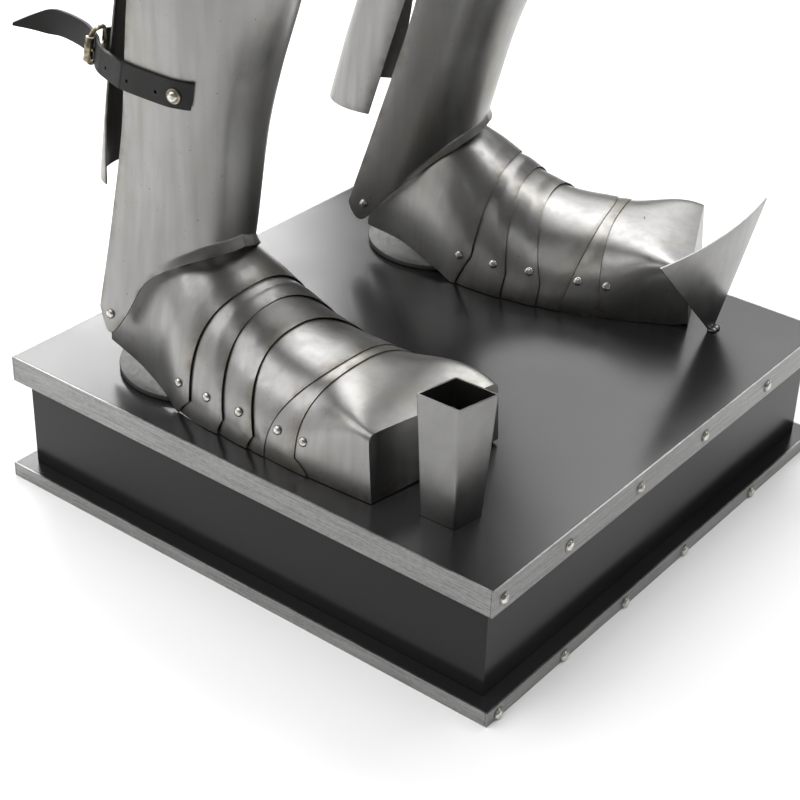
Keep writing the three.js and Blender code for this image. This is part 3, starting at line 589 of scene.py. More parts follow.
def grid_mesh(name, grid, wrap=False, pole=False):
    rows, cols = len(grid), len(grid[0])
    points = [p for row in grid for p in row]
    if pole:
        points = points[: (rows - 1) * cols + 1]

    def at(i, j):
        return (rows - 1) * cols if pole and i == rows - 1 else i * cols + j % cols

    faces = []
    for i in range(rows - 1):
        for j in range(cols if wrap else cols - 1):
            face = [at(i, j), at(i, j + 1), at(i + 1, j + 1), at(i + 1, j)]
            faces.append(list(dict.fromkeys(face)))
    centre = sum(points, Vector()) / len(points)
    votes = 0
    for face in faces:
        a, b, c = (points[k] for k in face[:3])
        votes += 1 if (b - a).cross(c - a).dot(a - centre) > 0 else -1
    if votes < 0:
        faces = [face[::-1] for face in faces]
    mesh = to_mesh(name, points, faces)
    mesh.attributes.new("rim", "FLOAT", "POINT").data.foreach_set("value", rim_shares(grid, wrap, pole))
    return mesh


def rim_shares(grid, wrap, pole):
    """How near each point of a plate is to its edge: 1 at the edge, falling away inside."""
    shares = []
    for i, row in enumerate(grid):
        if pole and i == len(grid) - 1:
            return shares + [0]
        for j, point in enumerate(row):
            ends = [grid[0][j]] + ([] if pole else [grid[-1][j]]) + ([] if wrap else [row[0], row[-1]])
            shares.append(math.exp(-min((point - end).length for end in ends) / RIM))
    return shares


def sheet_metal(name, grid, wrap=False, pole=False, body="suit", finish=STEEL, thick=PLATE):
    """A steel plate with its outer face on the grid, its thickness inside and its edges eased."""
    obj = new_piece(name + "_plate", grid_mesh(name, grid, wrap, pole), finish, body, name)
    wall = obj.modifiers.new("wall", "SOLIDIFY")
    wall.thickness = thick * MM
    wall.offset = -1
    ease_edges(obj, EASE)


def ease_edges(obj, width, segments=2, limit=40):
    ease = obj.modifiers.new("ease", "BEVEL")
    ease.width = width * MM
    ease.segments = segments
    ease.limit_method = "ANGLE"
    ease.angle_limit = limit * DEG
    ease.harden_normals = True


def plate(name, place, form, low, high, angles, rows, out=None, **options):
    """A plate on a limb form between two edge lines."""
    def point(t, angle):
        h = mix(level(low, angle), level(high, angle), t)
        return place(*around(form, angle, h, out(h, angle) if out else 0), h)

    shares = spread(0, 1, rows) if isinstance(rows, int) else rows
    sheet_metal(name, net(point, shares, angles), **options)


def seat(surface, a, b, outward, step=0.4):
    """A point of a surface of two numbers, and the unit normal there that looks outward."""
    u = surface(a + step, b) - surface(a - step, b)
    v = surface(a, b + step) - surface(a, b - step)
    normal = u.cross(v).normalized()
    return surface(a, b), normal if normal.dot(outward) > 0 else -normal


# A domed head as [share of the radius, share of the height], from its foot to its top.
DOME = ((0.84, 0), (0.97, 0.12), (1, 0.28), (0.95, 0.5), (0.82, 0.72), (0.6, 0.9), (0.32, 0.98), (0, 1))
HEADS = by_name(table(("name", "radius", "height", "finish"), [
    ("sabaton_rivet", 4, 2.8, RIVET),
    ("greave_pivot", 4.1, 2.8, RIVET),
    ("strap_ring", 6.4, 1.5, BRASS),
    ("strap_rivet", 4.4, 2.9, RIVET),
    ("chape_rivet", 3.6, 2.2, RIVET),
    ("nail_brim", 5.8, 1.1, NAIL_BRIM),
    ("nail", 4.3, 2.8, NAIL),
    ("weld", 4.5, 3.2, STAND),
    ("visor_pin", 7, 4, RIVET),
]))
SUNK = 0.1    # how deep a head's foot is in its plate


def heads(name, places, kind, body="suit", sides=20):
    """Domed heads at [point, outward normal] places, in one mesh."""
    head = HEADS[kind]
    points, faces = [], []
    for centre, normal in places:
        across = normal.orthogonal().normalized()
        along = normal.cross(across)
        first = len(points)
        for share, rise in DOME[:-1]:
            for c, s in circle(sides):
                ring = across * c + along * s
                points.append(centre + ring * head.radius * share + normal * (head.height * rise - SUNK))
        points.append(centre + normal * (head.height - SUNK))
        faces += bands(len(DOME) - 1, sides, first)
        top = first + (len(DOME) - 2) * sides
        for k in range(sides):
            faces.append([top + k, top + (k + 1) % sides, len(points) - 1])
        faces.append([first + k for k in reversed(range(sides))])
    new_piece(name, to_mesh(name, points, faces), head.finish, body)


def rod(points, radii, sides=16, closed=False):
    """Points and faces of a round bar through points, with a radius at each."""
    rings = []
    count = len(points)
    up = None
    for i, p in enumerate(points):
        ahead = points[(i + 1) % count] if closed else points[min(count - 1, i + 1)]
        behind = points[i - 1] if closed else points[max(0, i - 1)]
        run = (ahead - behind).normalized()
        up = (up - run * up.dot(run)).normalized() if up else run.orthogonal().normalized()
        side = run.cross(up)
        rings += [p + (up * c + side * s) * radii[i] for c, s in circle(sides)]
    return rings, bands(count, sides, closed=closed) + ([] if closed else caps(count, sides))


def join_parts(name, parts, finish, *nodes):
    """One object from several lots of points and faces."""
    points, faces = [], []
    for some, more in parts:
        faces += [[k + len(points) for k in face] for face in more]
        points += some
    obj = new_piece(name, to_mesh(name, points, faces), finish, "suit", *nodes)
    bm = bmesh.new()
    bm.from_mesh(obj.data)
    bmesh.ops.recalc_face_normals(bm, faces=bm.faces)
    bm.to_mesh(obj.data)
    bm.free()
    return obj


# ---- the plinth
def dress(node, material, ease):
    """A CAD board or strip keeps its shape and gets its finish and eased edges."""
    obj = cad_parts[node]
    obj.data.materials.clear()
    obj.data.materials.append(material)
    ease_edges(obj, ease, 3, 30)


# Nails along the front and back strips: their places from the middle and their share of the height.
NAILS = table(("strip", "places", "share"), [
    ("top", (-236, -153, -54, 45, 149, 238), 0.44),
    ("base", (-240, -153, -66, 26, 139, 240), 0.3),
])


def plinth():
    for name in ("base_board", "body", "top_board"):
        dress(f"plinth_{name}", side_board if name == "body" else board, 0.8)
    for where in ("base", "top"):
        for side in ("front", "back", "right", "left"):
            dress(f"strip_{where}_{side}", strip_steel, 0.12)
    places = []
    for row in NAILS:
        for side, sign in (("front", -1), ("back", 1)):
            low, high = (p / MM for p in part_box(f"strip_{row.strip}_{side}"))
            y = low.y if sign < 0 else high.y
            z = mix(low.z, high.z, row.share) - DECK
            places += [(Vector((-sign * x, y, z)), Vector((0, sign, 0))) for x in row.places]
    heads("strip_nail_brims", places, "nail_brim")
    heads("strip_nails", places, "nail")


# Three corners of the pole socket's foot and rim, left, near and right as it is seen from the front.
SOCKET = Row(
    foot=((-209, -152), (-208, -184), (-178, -188)),
    rim=((-209, -144), (-208, -183), (-170, -191)),
    height=102, fold=0.06, thick=1.8,
)
# The rest's tip, the ends of its upper edge, its height and bulge, the share of its width left at the tip,
# and the beads of weld beside the tip.
REST = Row(tip=(184, -174), left=(82, -172), right=(262, -172), height=98, bulge=9, least=0.05)
BEADS = ((-3, -2, 0.2), (2, -2, 0.2))


def pole_socket():
    """A tapered four-sided tube of sheet steel with rounded folds."""
    fold = SOCKET.fold
    outline = []
    for corner, (cu, cv) in enumerate(((0, 0), (1, 0), (1, 1), (0, 1))):
        for a in spread(0, 90, 4):
            turn = (180 + 90 * corner + a) * DEG
            u = cu + fold * (1 - 2 * cu) + fold * math.cos(turn)
            v = cv + fold * (1 - 2 * cv) + fold * math.sin(turn)
            outline.append((u, v))

    def point(t, place):
        left, near, right = (Vector(a).lerp(Vector(b), t) for a, b in zip(SOCKET.foot, SOCKET.rim))
        x, y = near + (right - near) * place[0] + (left - near) * place[1]
        return Vector((x, y, GAP + t * SOCKET.height))

    grid = net(point, spread(0, 1, 16), outline)
    sheet_metal("pole_socket", grid, wrap=True, finish=STAND, thick=SOCKET.thick)


def shield_rest():
    """A shallow half cone of sheet steel on its tip, with a small bead of weld at its foot."""
    tip, left, right = (Vector((*REST[key], 0)) for key in ("tip", "left", "right"))

    def point(t, a):
        size = mix(REST.least, 1, t)
        p = tip.lerp(left.lerp(right, (a + 1) / 2), size)
        return Vector((p.x, p.y - REST.bulge * size * (1 - a * a), GAP + t * REST.height))

    sheet_metal("shield_rest", net(point, spread(0, 1, 20), spread(-1, 1, 36)), finish=STAND)
    beads = [(tip + Vector(bead), Vector((0, 0, 1))) for bead in BEADS]
    heads("shield_rest_weld", beads, "weld")


def heel_disc(leg):
    """A turned disc with softened rims."""
    name = f"heel_disc_{leg.name}"
    low, high = (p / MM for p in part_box(name))
    x, y, z = (low + high) / 2
    radius, half, rim = (high.x - low.x) / 2, (high.z - low.z) / 2, 0.8
    profile = []
    for c, s in circle(12)[:4]:
        profile.append((radius - rim + rim * s, half - rim + rim * c))
    profile += [(r, -up) for r, up in reversed(profile)]
    turned = rod([Vector((x, y, z - DECK + up)) for _, up in profile], [r for r, _ in profile], 96)
    disc = join_parts(name + "_turned", [turned], DISC, name)
    ease_edges(disc, 0.2, 1, 50)


# ---- feet
def foot_line(f):
    """The lower edge's height: over the heel disc, then down to the deck."""
    r = HEEL_RISE
    if f > r.toe:
        return 2 * GAP
    if f > r.end:
        return mix(r.low, 2 * GAP, (f - r.end) / (r.toe - r.end))
    return mix(r.high, r.low, (f - r.back) / (r.end - r.back))


def foot_form(leg):
    """The foot's place and its sections, with the instep as high as this foot's."""
    base = (*leg.foot, 0)
    rows = []
    for row in SABATON:
        ahead = row.f - INSTEP.f
        drop = leg.instep_drop * max(0, 1 - (ahead / INSTEP["front" if ahead > 0 else "back"]) ** 2)
        rows.append(Row(row, top=row.top - drop))
    return limb(leg.side, leg.turn, base, (*leg.foot, 1)), rows


def sabaton_point(form, angle, f, out, fold=1):
    """A point of the foot's form; a fold under 1 squares the section's shoulders."""
    place, rows = form
    row = sample(rows, "f", f)
    c, s = math.cos(angle * DEG), math.sin(angle * DEG)
    side = "outer" if c >= 0 else "inner"
    base = foot_line(f)
    o = power(c, row["bend_" + side] * fold) * (row[side] + out)
    z = power(s, row["rise_" + side] * fold) * (row.top - base + out)
    return place(o, f, base + max(0, z))


def toe_front(angle):
    across = power(math.cos(angle * DEG), TOE_FRONT.corner)
    lean = TOE_FRONT.lean * math.sin(angle * DEG) ** TOE_FRONT.corner
    return mix(TOE_FRONT.outer, TOE_FRONT.inner, (1 - across) / 2) - lean


def sabaton_edge(name, angle):
    if name == "toe_front":
        return toe_front(min(180, max(0, angle)))
    line = SABATON_EDGES[name]
    side = "outer" if angle < 90 else "inner"
    height = abs(math.sin(angle * DEG))
    cut_back = line.tip * max(0, 1 - height / line["cut_" + side])
    return mix(line[side], line.crest, height ** line["bend_" + side]) - cut_back


def sabaton_lift(p, angle, f):
    """How far a plate stands over the form at a place."""
    start, front = (sabaton_edge(p[key], angle) for key in ("behind", "ahead"))
    run = max(RISE.shortest, front - start - RISE.before_edge)
    shown = min(1, max(0, (f - start) / run))
    return mix(p.back, p.front, shown)


def cut_angles(p):
    """Where the cut-back tips begin on a plate's two edges."""
    angles = []
    for line in (SABATON_EDGES[p.behind], SABATON_EDGES[p.ahead]):
        angles += [math.asin(line.cut_outer) / DEG, 180 - math.asin(line.cut_inner) / DEG]
    return angles


ARCH_SPAN = (0, 180, 90)    # a plate's first and last angle and its columns
NEAR_DECK = 2               # the angle of one more column of points by the deck, on each side


def sabaton_plate(leg, form, p):
    if p.ahead == "toe_front":
        toe_cap(leg, form, p)
        return
    middle = (sabaton_edge(p.behind, 90) + sabaton_edge(p.ahead, 90)) / 2
    angles = even(lambda a, f: sabaton_point(form, a, f, 0), middle, *ARCH_SPAN)
    angles = sorted({*angles, NEAR_DECK, 180 - NEAR_DECK, *cut_angles(p)})

    def point(t, angle):
        start = sabaton_edge(p.behind, angle) - p.tuck
        f = mix(start, sabaton_edge(p.ahead, angle), t)
        return sabaton_point(form, angle, f, sabaton_lift(p, angle, f))

    sheet_metal(f"sabaton_{p.piece}_{leg.name}", net(point, spread(0, 1, p.rows), angles), thick=THIN_PLATE)


# The rings that close the toe's front face, as shares of the way to the middle of its foot.
TOE_RINGS = (0.02, 0.08, 0.2, 0.4, 0.6, 0.8, 1)


def toe_cap(leg, form, p):
    """The toe: rounded where it leaves the band, folding to square shoulders at its flat front face."""
    def section(angle, t):
        start = sabaton_edge(p.behind, angle) - p.tuck
        f = mix(start, sabaton_edge(p.ahead, angle), t)
        fold = mix(1, TOE_FRONT.corner * 2, t * t * (3 - 2 * t))
        return sabaton_point(form, angle, f, 0, fold)

    grid = [[section(angle, t) for angle in even(section, t, *ARCH_SPAN)] for t in spread(0, 1, p.rows)]
    rim = grid[-1]
    foot_middle = (rim[0] + rim[-1]) / 2
    for t in TOE_RINGS:
        row = [q.lerp(foot_middle, t) for q in rim]
        for q in row:
            q.z = max(GAP, q.z)
        grid.append(row)
    sheet_metal(f"sabaton_{p.piece}_{leg.name}", grid, pole=True)


RIVET_HEIGHT = 29
BISECTIONS = 30


def sabaton_angle(form, f, inside, height):
    """The angle at which a plate's section is at a height, on its outer or inner side."""
    low, high = (180, 100) if inside else (0, 80)
    for _ in range(BISECTIONS):
        middle = (low + high) / 2
        if sabaton_point(form, middle, f, 0).z < height:
            low = middle
        else:
            high = middle
    return low


def foot(leg):
    form = foot_form(leg)
    place, _ = form
    places = []
    for p in SABATON_PLATES:
        sabaton_plate(leg, form, p)
        for inside, f in enumerate(p.rivets):
            angle = sabaton_angle(form, f, inside, RIVET_HEIGHT)

            def surface(a, b, p=p):
                return sabaton_point(form, a, b, sabaton_lift(p, a, b))

            places.append(seat(surface, angle, f, toward(place, -1 if inside else 1)))
    heads(f"sabaton_rivets_{leg.name}", places, "sabaton_rivet")
    heel_disc(leg)


# ---- legs
# The flange turned out along the greave's lower edge, and the angle from the front at which it has ended.
FLANGE = Row(height=8.5, out=5, end=80, curl=1.15)
GREAVE_TOP = eased_edge([(0, 462), (112, 440)])
# Spans of plates: the height at which they are measured, the first and last angle, and the columns.
GREAVE_SPAN = (300, -22, 193, 160)
CUISSE_SPAN = (640, -24, 204, 96)
# The greave's rows of points, as shares of its height: close together along the flange.
GREAVE_ROWS = [0, 0.005, 0.01, 0.015, 0.02, 0.0245, 0.027, 0.03, 0.04, 0.06, 0.09] + spread(0.125, 1, 42)
GREAVE_PIVOTS = table(("angle", "h", "side"), [(-10, 57, 1), (184, 49, -1)])
CALF_TOP = 436
LOBE_H = 60    # where the millimetres behind the widest line are measured
# The strap is fixed at its first angle on the greave. Holes are places along it.
STRAP = Row(height=261, width=20.5, thick=2.5, off=3, buckle=60, apart=13, rivet=11)
STRAP_ANGLES = (27, 22, 10, 0, -6, -12, -18, -22)
HOLES = Row(places=(32, 63, 95, 138), radius=1.5, depth=4, drop=2)
# The strap's free end, from the roller on.
TAIL = table(("along", "away", "h", "width"), [
    (9, 11, 4, 1),
    (18, 25, 5, 1),
    (28, 50, 5, 1),
    (30, 66, 4, 1),
    (27, 80, 2, 0.62),
    (19, 94, 0, 0.1),
])
BUCKLE = Row(roller=3.6, wire=1.9, reach=21, rise=28, lift=3, square=0.6, follow=14)
ROLLER = ((-10, 3), (-9.6, 3.6), (9.6, 3.6), (10, 3))    # height and radius along it
PRONG = ((21, 0), (14.7, 3.2), (6.3, 4.2), (-2, 4.4))    # along the buckle and away from it
PRONG_RADII = (1.7, 1.1)
CHAPE = Row(angles=(98, 110, 124), rivet=116)
LEATHER_EASE = (0.45, 2, 50)


def greave_low(angle):
    away = abs(angle - 90)
    along = away if away <= 90 else 90 - around(GREAVE_FRONT, angle, LOBE_H)[1]
    return sample(GREAVE_EDGE, "along", along)["outer" if angle < 90 else "inner"]


def greave_flare(h, angle):
    """The turned-out flange along the front plate's lower edge."""
    above = h - greave_low(angle)
    front = max(0, 1 - abs(angle - 90) / FLANGE.end)
    curl = max(0, 1 - above / FLANGE.height)
    return FLANGE.out * min(1, front * 2) * curl ** FLANGE.curl


def calf_point(leg, angle, h, out=0):
    """A point of the calf plate's form: angle 0 is outward, 90 back, 180 inward."""
    row = sample(GREAVE_BACK, "h", h)
    c, s = math.cos(angle * DEG), math.sin(angle * DEG)
    depth = row.depth * leg.calf_depth
    return power(c, CALF_ROUND) * (row.side + out), CALF_SHIFT - power(s, CALF_ROUND) * (depth + out)


def calf_outer(leg, h):
    row = sample(GREAVE_BACK, "h", h)
    return math.asin((row.gapped / (row.depth * leg.calf_depth)) ** (1 / CALF_ROUND)) / DEG


def smooth_path(points, count=6):
    """Points spread evenly by number along a smooth curve through given points."""
    out = []
    last = len(points) - 1
    for i in range(last):
        near = [points[min(last, max(0, k))] for k in (i - 1, i, i + 1, i + 2)]
        for t in spread(0, 1, count)[:-1]:
            point = []
            for a, b, c, d in zip(*near):
                curve = (2 * a - 5 * b + 4 * c - d) * t * t + (3 * b - a - 3 * c + d) * t**3
                point.append(0.5 * (2 * b + (c - a) * t + curve))
            out.append(tuple(point))
    out.append(tuple(points[last]))
    return out


def ribbon(place, stations, thick):
    """Points and faces of a strap through stations [o, f, h, width], standing on edge."""
    points = []
    last = len(stations) - 1
    for i, (o, f, h, width) in enumerate(stations):
        a, b = stations[max(0, i - 1)], stations[min(last, i + 1)]
        run = math.hypot(b[0] - a[0], b[1] - a[1])
        x, y = (b[1] - a[1]) / run * thick / 2, (a[0] - b[0]) / run * thick / 2
        for k, up in ((1, 1), (-1, 1), (-1, -1), (1, -1)):
            points.append(place(o + k * x, f + k * y, h + up * width / 2))
    return points, bands(last + 1, 4) + caps(last + 1, 4)


def buckle_run(leg):
    at = STRAP.buckle + BUCKLE.follow
    a, b = (calf_point(leg, angle, STRAP.height) for angle in (at - 1, at + 1))
    run = math.hypot(b[0] - a[0], b[1] - a[1])
    return (b[0] - a[0]) / run, (b[1] - a[1]) / run


def strap_stations(leg):
    """The strap's line: along the front plate, over the opening, in under the roller and out as a tail."""
    height, width, off = STRAP.height, STRAP.width, STRAP.off
    stations = [(*around(GREAVE_FRONT, a, height, off), height, width) for a in STRAP_ANGLES]
    first = calf_outer(leg, height) - 3
    for t in spread(0, 1, 3):
        o, f = calf_point(leg, mix(first, STRAP.buckle, t), height, mix(off, STRAP.apart, t))
        stations.append((o, f, height + t * BUCKLE.lift, width))
    x, y = buckle_run(leg)
    for t in TAIL:
        o1, f1 = o + t.along * x - t.away * y, f + t.along * y + t.away * x
        stations.append((o1, f1, height + t.h, width * t.width))
    return smooth_path(stations)


def punched_holes(place, stations):
    """Round bars through a strap, one for each of its holes."""
    run, holes, want = 0, [], list(HOLES.places)
    for a, b in zip(stations, stations[1:]):
        step = math.hypot(b[0] - a[0], b[1] - a[1])
        while want and run + step >= want[0]:
            t = (want.pop(0) - run) / step
            o, f, h, _ = (mix(p, q, t) for p, q in zip(a, b))
            across = Vector((b[1] - a[1], a[0] - b[0])).normalized() * HOLES.depth
            ends = [place(o + k * across.x, f + k * across.y, h - HOLES.drop) for k in (-1, 1)]
            holes.append(rod(ends, [HOLES.radius] * 2, 14))
        run += step
    return holes


def greave_strap(leg, place):
    """The strap with its punched holes, and the brass ring and steel rivet at its fixed end."""
    stations = strap_stations(leg)
    name = f"greave_strap_{leg.name}"
    strap = join_parts(name + "_leather", [ribbon(place, stations, STRAP.thick)], LEATHER, name)
    cutter = join_parts(name + "_holes", punched_holes(place, stations), LEATHER)
    cut = strap.modifiers.new("holes", "BOOLEAN")
    cut.object = cutter
    cut.solver = "EXACT"
    apply_modifier(strap, cut)
    bpy.data.objects.remove(cutter)
    ease_edges(strap, *LEATHER_EASE)

    surface = skin(place, GREAVE_FRONT, STRAP.off + STRAP.thick / 2)
    point, normal = seat(surface, STRAP.rivet, STRAP.height - 1, toward(place, 1))
    heads(f"strap_ring_{leg.name}", [(point, normal)], "strap_ring")
    top = [(point + normal * 0.8, normal)]
    heads(f"strap_rivet_{leg.name}", top, "strap_rivet")


def apply_modifier(obj, modifier):
    bpy.context.view_layer.update()
    graph = bpy.context.evaluated_depsgraph_get()
    mesh = bpy.data.meshes.new_from_object(obj.evaluated_get(graph))
    obj.modifiers.remove(modifier)
    obj.data = mesh


def greave_buckle(leg, place):
    """The buckle's frame, roller and prong, and the chape: a leather fold riveted to the calf plate."""
    height, width, thick = STRAP.height, STRAP.width, STRAP.thick
    level_h = height + BUCKLE.lift
    wire, reach, rise, square = (BUCKLE[key] for key in ("wire", "reach", "rise", "square"))
    stand = STRAP.apart + thick / 2 + 3 * GAP + BUCKLE.roller
    ro, rf = calf_point(leg, STRAP.buckle, height, stand)
    x, y = buckle_run(leg)

    def spot(along, across, up):
        return place(ro + x * along + y * across, rf + y * along - x * across, level_h + up)

    ring = [spot(reach / 2 * (1 + power(c, square)), 0, power(s, square) * rise / 2) for c, s in circle(64)]
    roller = rod([spot(0, 0, up) for up, _ in ROLLER], [radius for _, radius in ROLLER], 24)
    line = [Vector(p) for p in smooth_path([spot(along, across, 0) for along, across in PRONG])]
    prong = rod(line, spread(*PRONG_RADII, len(line) - 1), 10)
    parts = [rod(ring, [wire] * len(ring), 12, closed=True), roller, prong]
    name = f"greave_buckle_{leg.name}"
    join_parts(name + "_metal", parts, BRASS, name)

    bar = reach + wire + GAP
    stations = [(ro + x * bar, rf + y * bar, level_h, width)]
    for angle in CHAPE.angles:
        stations.append((*calf_point(leg, angle, height, STRAP.off), level_h, width))
    name = f"greave_chape_{leg.name}"
    fold = [ribbon(place, smooth_path(stations), thick)]
    chape = join_parts(name + "_leather", fold, LEATHER, name)
    ease_edges(chape, *LEATHER_EASE)

    def surface(a, h):
        return place(*calf_point(leg, a, h, STRAP.off + thick / 2), h)

    rivet = [seat(surface, CHAPE.rivet, level_h, toward(place, 0, -1))]
    heads(f"chape_rivet_{leg.name}", rivet, "chape_rivet")


def lower_leg(leg):
    place = limb(leg.side, leg.turn, leg.ankle, leg.knee)
    name = leg.name
    surface = skin(place, GREAVE_FRONT)
    angles = even(surface, *GREAVE_SPAN)
    edges = (greave_low, GREAVE_TOP)
    plate(f"greave_front_{name}", place, GREAVE_FRONT, *edges, angles, GREAVE_ROWS, greave_flare)
    grid = []
    for h in spread(leg.calf_low, CALF_TOP, 48):
        around_calf = spread(calf_outer(leg, h), 180, 72)
        grid.append([place(*calf_point(leg, angle, h), h) for angle in around_calf])
    sheet_metal(f"greave_back_{name}", grid)
    greave_strap(leg, place)
    greave_buckle(leg, place)
    pivots = [seat(surface, p.angle, p.h, toward(place, p.side)) for p in GREAVE_PIVOTS]
    heads(f"greave_pivots_{name}", pivots, "greave_pivot")


# The foot's turn fades up the leg.
TURN_LEFT = Row(knee=0.7, thigh=0.4)
CUISSE_EDGES = (500, eased_edge([(0, 770), (128, 800)]))
POLEYN_EDGES = (394, 554)


def upper_leg(leg):
    name = leg.name
    knee = limb(leg.side, leg.turn * TURN_LEFT.knee, leg.ankle, leg.knee)
    thigh = limb(leg.side, leg.turn * TURN_LEFT.thigh, leg.knee, leg.hip)
    angles = even(skin(thigh, CUISSE), *CUISSE_SPAN)
    plate(f"cuisse_{name}", thigh, CUISSE, *CUISSE_EDGES, angles, 40)
    plate(f"poleyn_{name}", bent(knee, thigh, leg.knee), POLEYN, *POLEYN_EDGES, angles, 32)


# ---- trunk
trunk = limb(1, 0, (*TRUNK, 0), (*TRUNK, 1000))


def ring(count):
    return spread(0, 360, count)[:-1]


# The hoops' rows, as shares of a hoop's height, and how much of its height shows.
HOOPS = Row(count=4, low=852, high=1018, rows=(0, 0.08, 0.3, 0.6, 0.9, 1), shown=0.98)


def fauld():
    """Hoops that overlap upwards, in one solid."""
    grid = []
    for k in range(HOOPS.count):
        for t in HOOPS.rows:
            h = mix(HOOPS.low, HOOPS.high, (k + t * HOOPS.shown) / HOOPS.count)
            grid.append([trunk(*around(FAULD, a, h, LAP * (1 - t)), h) for a in ring(120)])
    sheet_metal("fauld", grid, wrap=True)


TASSETS = table(("name", "start", "end"), [("left", 30, 80), ("right", 100, 150)])
# How far a tasset stands over the fauld's form, its lower edge and how that rises, its top and its flare.
TASSET = Row(stand=9, low=716, rise=0.05, high=866, flare=0.02)


def tassets():
    form = [Row(row, side=row.side + TASSET.stand, front=row.front + TASSET.stand) for row in FAULD]
    high = TASSET.high
    for row in TASSETS:
        middle = (row.start + row.end) / 2
        plate(
            f"tasset_{row.name}", trunk, form,
            lambda a, m=middle: TASSET.low + TASSET.rise * (a - m) ** 2, high,
            spread(row.start, row.end, 40), 30, lambda h, a: (high - h) * TASSET.flare,
        )


TORSO_LOW = 1006
ARMHOLE = [(52, 1404), (66, 1340), (78, 1262), (90, 1238)]
NECK_FRONT = eased_edge([(0, 1384), (32, 1396), *ARMHOLE])
NECK_BACK = eased_edge([(0, 1400), (32, 1408), *ARMHOLE])
SIDE_SEAM = 1.2    # the angle that each trunk plate leaves at its sides
GORGET_EDGES = (1372, 1525)


def torso():
    halves = (("breastplate", 0, NECK_FRONT), ("backplate", 180, lambda a: NECK_BACK(a - 180)))
    for name, start, high in halves:
        angles = even(skin(trunk, TRUNK_FORM), 1200, start + SIDE_SEAM, start + 180 - SIDE_SEAM, 96)
        plate(name, trunk, TRUNK_FORM, TORSO_LOW, high, angles, 56)
    plate("gorget", trunk, GORGET, *GORGET_EDGES, ring(96), 36, wrap=True)


# ---- arms
# The pauldron's lower edge rises towards its ends.
PAULDRON_EDGE = Row(h=1285, rise=40, start=90, over=55, top=1470)
PAULDRON_SPAN = (-138, 145, 72)
SLEEVES = table(("piece", "form", "low", "high", "rows"), [
    ("rerebrace", REREBRACE, 1172, 1322, 20),
    ("couter", COUTER, 1080, 1190, 28),
    ("vambrace", VAMBRACE, 910, 1096, 24),
])
GAUNTLET_ROWS = spread(966, 720, 36) + [716, 712, 709, 706.5, 705, 704]


def pole_rows(count):
    """Rows of a plate that closes at a pole, as shares of its height."""
    return spread(0, 0.9, count) + [0.93, 0.955, 0.975, 0.99, 1]


def pauldron_low(angle):
    edge = PAULDRON_EDGE
    return edge.h + edge.rise * max(0, abs(angle) - edge.start) / edge.over


def arm(part):
    name, side = part.name, part.side
    upper = limb(side, 0, part.elbow, part.shoulder)
    lower = limb(side, 0, part.wrist, part.elbow)
    hand = limb(side, 0, part.tips, part.wrist)
    elbow, wrist = bent(lower, upper, part.elbow), bent(hand, lower, part.wrist)
    plate(
        f"pauldron_{name}", upper, PAULDRON, pauldron_low, PAULDRON_EDGE.top,
        spread(*PAULDRON_SPAN), pole_rows(24), pole=True,
    )
    for s, place in zip(SLEEVES, (upper, elbow, lower)):
        plate(f"{s.piece}_{name}", place, s.form, s.low, s.high, ring(72), s.rows, wrap=True)
    hand_form = skin(wrist, GAUNTLET)
    grid = net(lambda h, a: hand_form(a, h), GAUNTLET_ROWS, ring(72))
    sheet_metal(f"gauntlet_{name}", grid, wrap=True, pole=True)


# ---- helmet
PIVOT = Row(f=6, h=1692)
FACE_OPENING = eased_edge([(0, 1670), (46, 1670), (58, 1508), (180, 1508)])
CROWN = 1797
VISOR_SPAN = (1600, -5, 185, 120)
VISOR_LOW = eased_edge([(0, 1514), (52, 1514), (76, 1670), (86, 1674), (95, 1684)])
VISOR_HIGH = eased_edge([(0, 1654), (48, 1654), (64, 1703), (84, 1709), (95, 1700)])


def helmet():
    plate(
        "helmet_skull", trunk, SKULL, lambda a: FACE_OPENING(a - 360 if a > 270 else a), CROWN,
        ring(120), pole_rows(36), wrap=True, pole=True,
    )
    surface = skin(trunk, VISOR)
    angles = even(surface, *VISOR_SPAN)
    plate("helmet_visor", trunk, VISOR, VISOR_LOW, VISOR_HIGH, angles, 40, body="visor")
    row = sample(VISOR, "h", PIVOT.h)
    angle = math.asin((PIVOT.f / row.front) ** (1 / row.round_front)) / DEG
    pins = [seat(surface, a, PIVOT.h, Vector((x, 0, 0))) for a, x in ((angle, 1), (180 - angle, -1))]
    heads("visor_pins", pins, "visor_pin", body="visor")


# The inner frame's heights: its feet, the pelvis, the crossbar of the arms and the crown.
FRAME = Row(radius=11, behind=8, foot=9, pelvis=900, arms=1345, reach=196, crown=1700)


def inner_frame():
    """Round tube through the legs and trunk, the tubes meeting in one mesh."""
    pelvis, crown = (Vector((*TRUNK, FRAME[key])) for key in ("pelvis", "crown"))
    lines = []
    for leg in LEGS:
        x, y, _ = leg.ankle
        ankle, knee, hip = Vector((x, y + FRAME.behind, FRAME.foot)), Vector(leg.knee), Vector(leg.hip)
        lines += [(ankle, knee), (knee, hip), (hip, pelvis)]
    lines.append((pelvis, crown))
    lines.append([Vector((TRUNK[0] + sign * FRAME.reach, TRUNK[1], FRAME.arms)) for sign in (-1, 1)])
    parts = [rod(line, [FRAME.radius] * 2, 32) for line in lines]
    obj = join_parts("stand_frame_tubes", parts, FRAME_PAINT, "stand_inner_frame")
    ease_edges(obj, 0.6, 2, 50)


# ---- camera, floor and light
# The photo's camera: its place in metres over the deck, its turns in degrees and its lens.
CAMERA = Row(place=Vector((-1.108, -0.8155, 0.7867)), turns=(58.39, -1.608, -51.707), lens=82.6)
FLOOR = 2.8                        # half the floor's side, in metres
ROOM, BACKDROP = 0.18, 0.93        # what the room gives as light, and what the camera sees of it
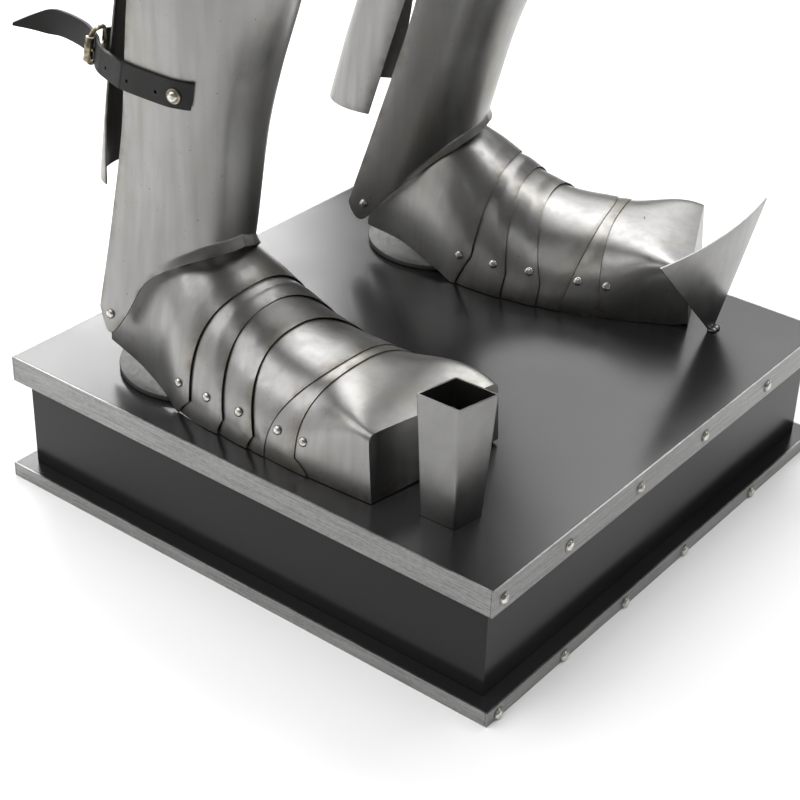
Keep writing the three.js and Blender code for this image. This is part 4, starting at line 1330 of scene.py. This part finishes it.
# Softboxes by azimuth from +X towards +Y, elevation, distance from the feet, width and height in metres.
# The last one gives light but is not mirrored in the steel.
LIGHTS = table(("name", "azimuth", "elevation", "distance", "size", "radiance", "mirrored"), [
    ("back", 54, 23, 3.4, (1.3, 1.1), 9),
    ("back_right", 24, 32, 3.4, (1.5, 1.2), 2.4),
    ("ridge", 34, 46, 3.2, (1.7, 0.45), 5.5),
    ("high", -6, 49, 3.2, (2.6, 0.9), 4.5),
    ("left", 134, 20, 3.2, (2.9, 2.4), 0.85),
    ("overhead", 108, 62, 3, (4.8, 3.2), 1.9),
    ("front", -62, 24, 4, (1.6, 1.6), 0.6),
    ("fill", 215, 80, 4.5, (5, 5), 1.8, False),
], True)
AIM = Vector((0, 0, 0.2))


def camera():
    data = bpy.data.cameras.new("camera")
    data.sensor_width = 36
    data.lens = CAMERA.lens
    data.clip_end = 50
    obj = add_object("camera", data)
    obj.location = CAMERA.place + Vector((0, 0, DECK * MM))
    obj.rotation_euler = Euler([turn * DEG for turn in CAMERA.turns])
    bpy.context.scene.camera = obj


def softbox(light):
    name = f"softbox_{light.name}"
    data = bpy.data.lights.new(name, "AREA")
    data.shape = "RECTANGLE"
    data.size, data.size_y = light.size
    data.energy = light.radiance * math.pi * data.size * data.size_y
    obj = add_object(name, data)
    a, e = light.azimuth * DEG, light.elevation * DEG
    away = Vector((math.cos(a) * math.cos(e), math.sin(a) * math.cos(e), math.sin(e)))
    obj.location = AIM + away * light.distance
    obj.rotation_euler = away.to_track_quat("Z", "Y").to_euler()
    obj.visible_camera = False
    obj.visible_glossy = light.mirrored


def floor():
    mesh = bpy.data.meshes.new("floor")
    corners = [(x * FLOOR, y * FLOOR, 0) for x, y in ((-1, -1), (1, -1), (1, 1), (-1, 1))]
    mesh.from_pydata(corners, [], [(0, 1, 2, 3)])
    n = Nodes("pale_floor", (0.86, 0.86, 0.86), 0.7)
    mesh.materials.append(n.finish(Base_Color=n.blend(n.noise(2, 2), (0.85, 0.85, 0.85), (0.88, 0.88, 0.88))))
    add_object("floor", mesh)


def room():
    """A dim even room as light, and a paler one where the camera looks past the floor."""
    world = bpy.data.worlds.new("studio")
    world.use_nodes = True
    tree = world.node_tree
    light = tree.nodes["Background"]
    light.inputs["Color"].default_value = (1, 1, 1, 1)
    light.inputs["Strength"].default_value = ROOM
    backdrop = tree.nodes.new("ShaderNodeBackground")
    backdrop.inputs["Color"].default_value = (BACKDROP, BACKDROP, BACKDROP, 1)
    pick = tree.nodes.new("ShaderNodeMixShader")
    seen = tree.nodes.new("ShaderNodeLightPath").outputs["Is Camera Ray"]
    for k, output in enumerate((seen, light.outputs[0], backdrop.outputs[0])):
        tree.links.new(output, pick.inputs[k])
    tree.links.new(pick.outputs[0], tree.nodes["World Output"].inputs["Surface"])
    bpy.context.scene.world = world


camera()
floor()
room()
for light in LIGHTS:
    softbox(light)
bpy.context.scene.view_settings.view_transform = "Standard"
plinth()
pole_socket()
shield_rest()
for each in LEGS:
    foot(each)
    lower_leg(each)
    upper_leg(each)
fauld()
tassets()
torso()
for each in ARMS:
    arm(each)
helmet()
inner_frame()
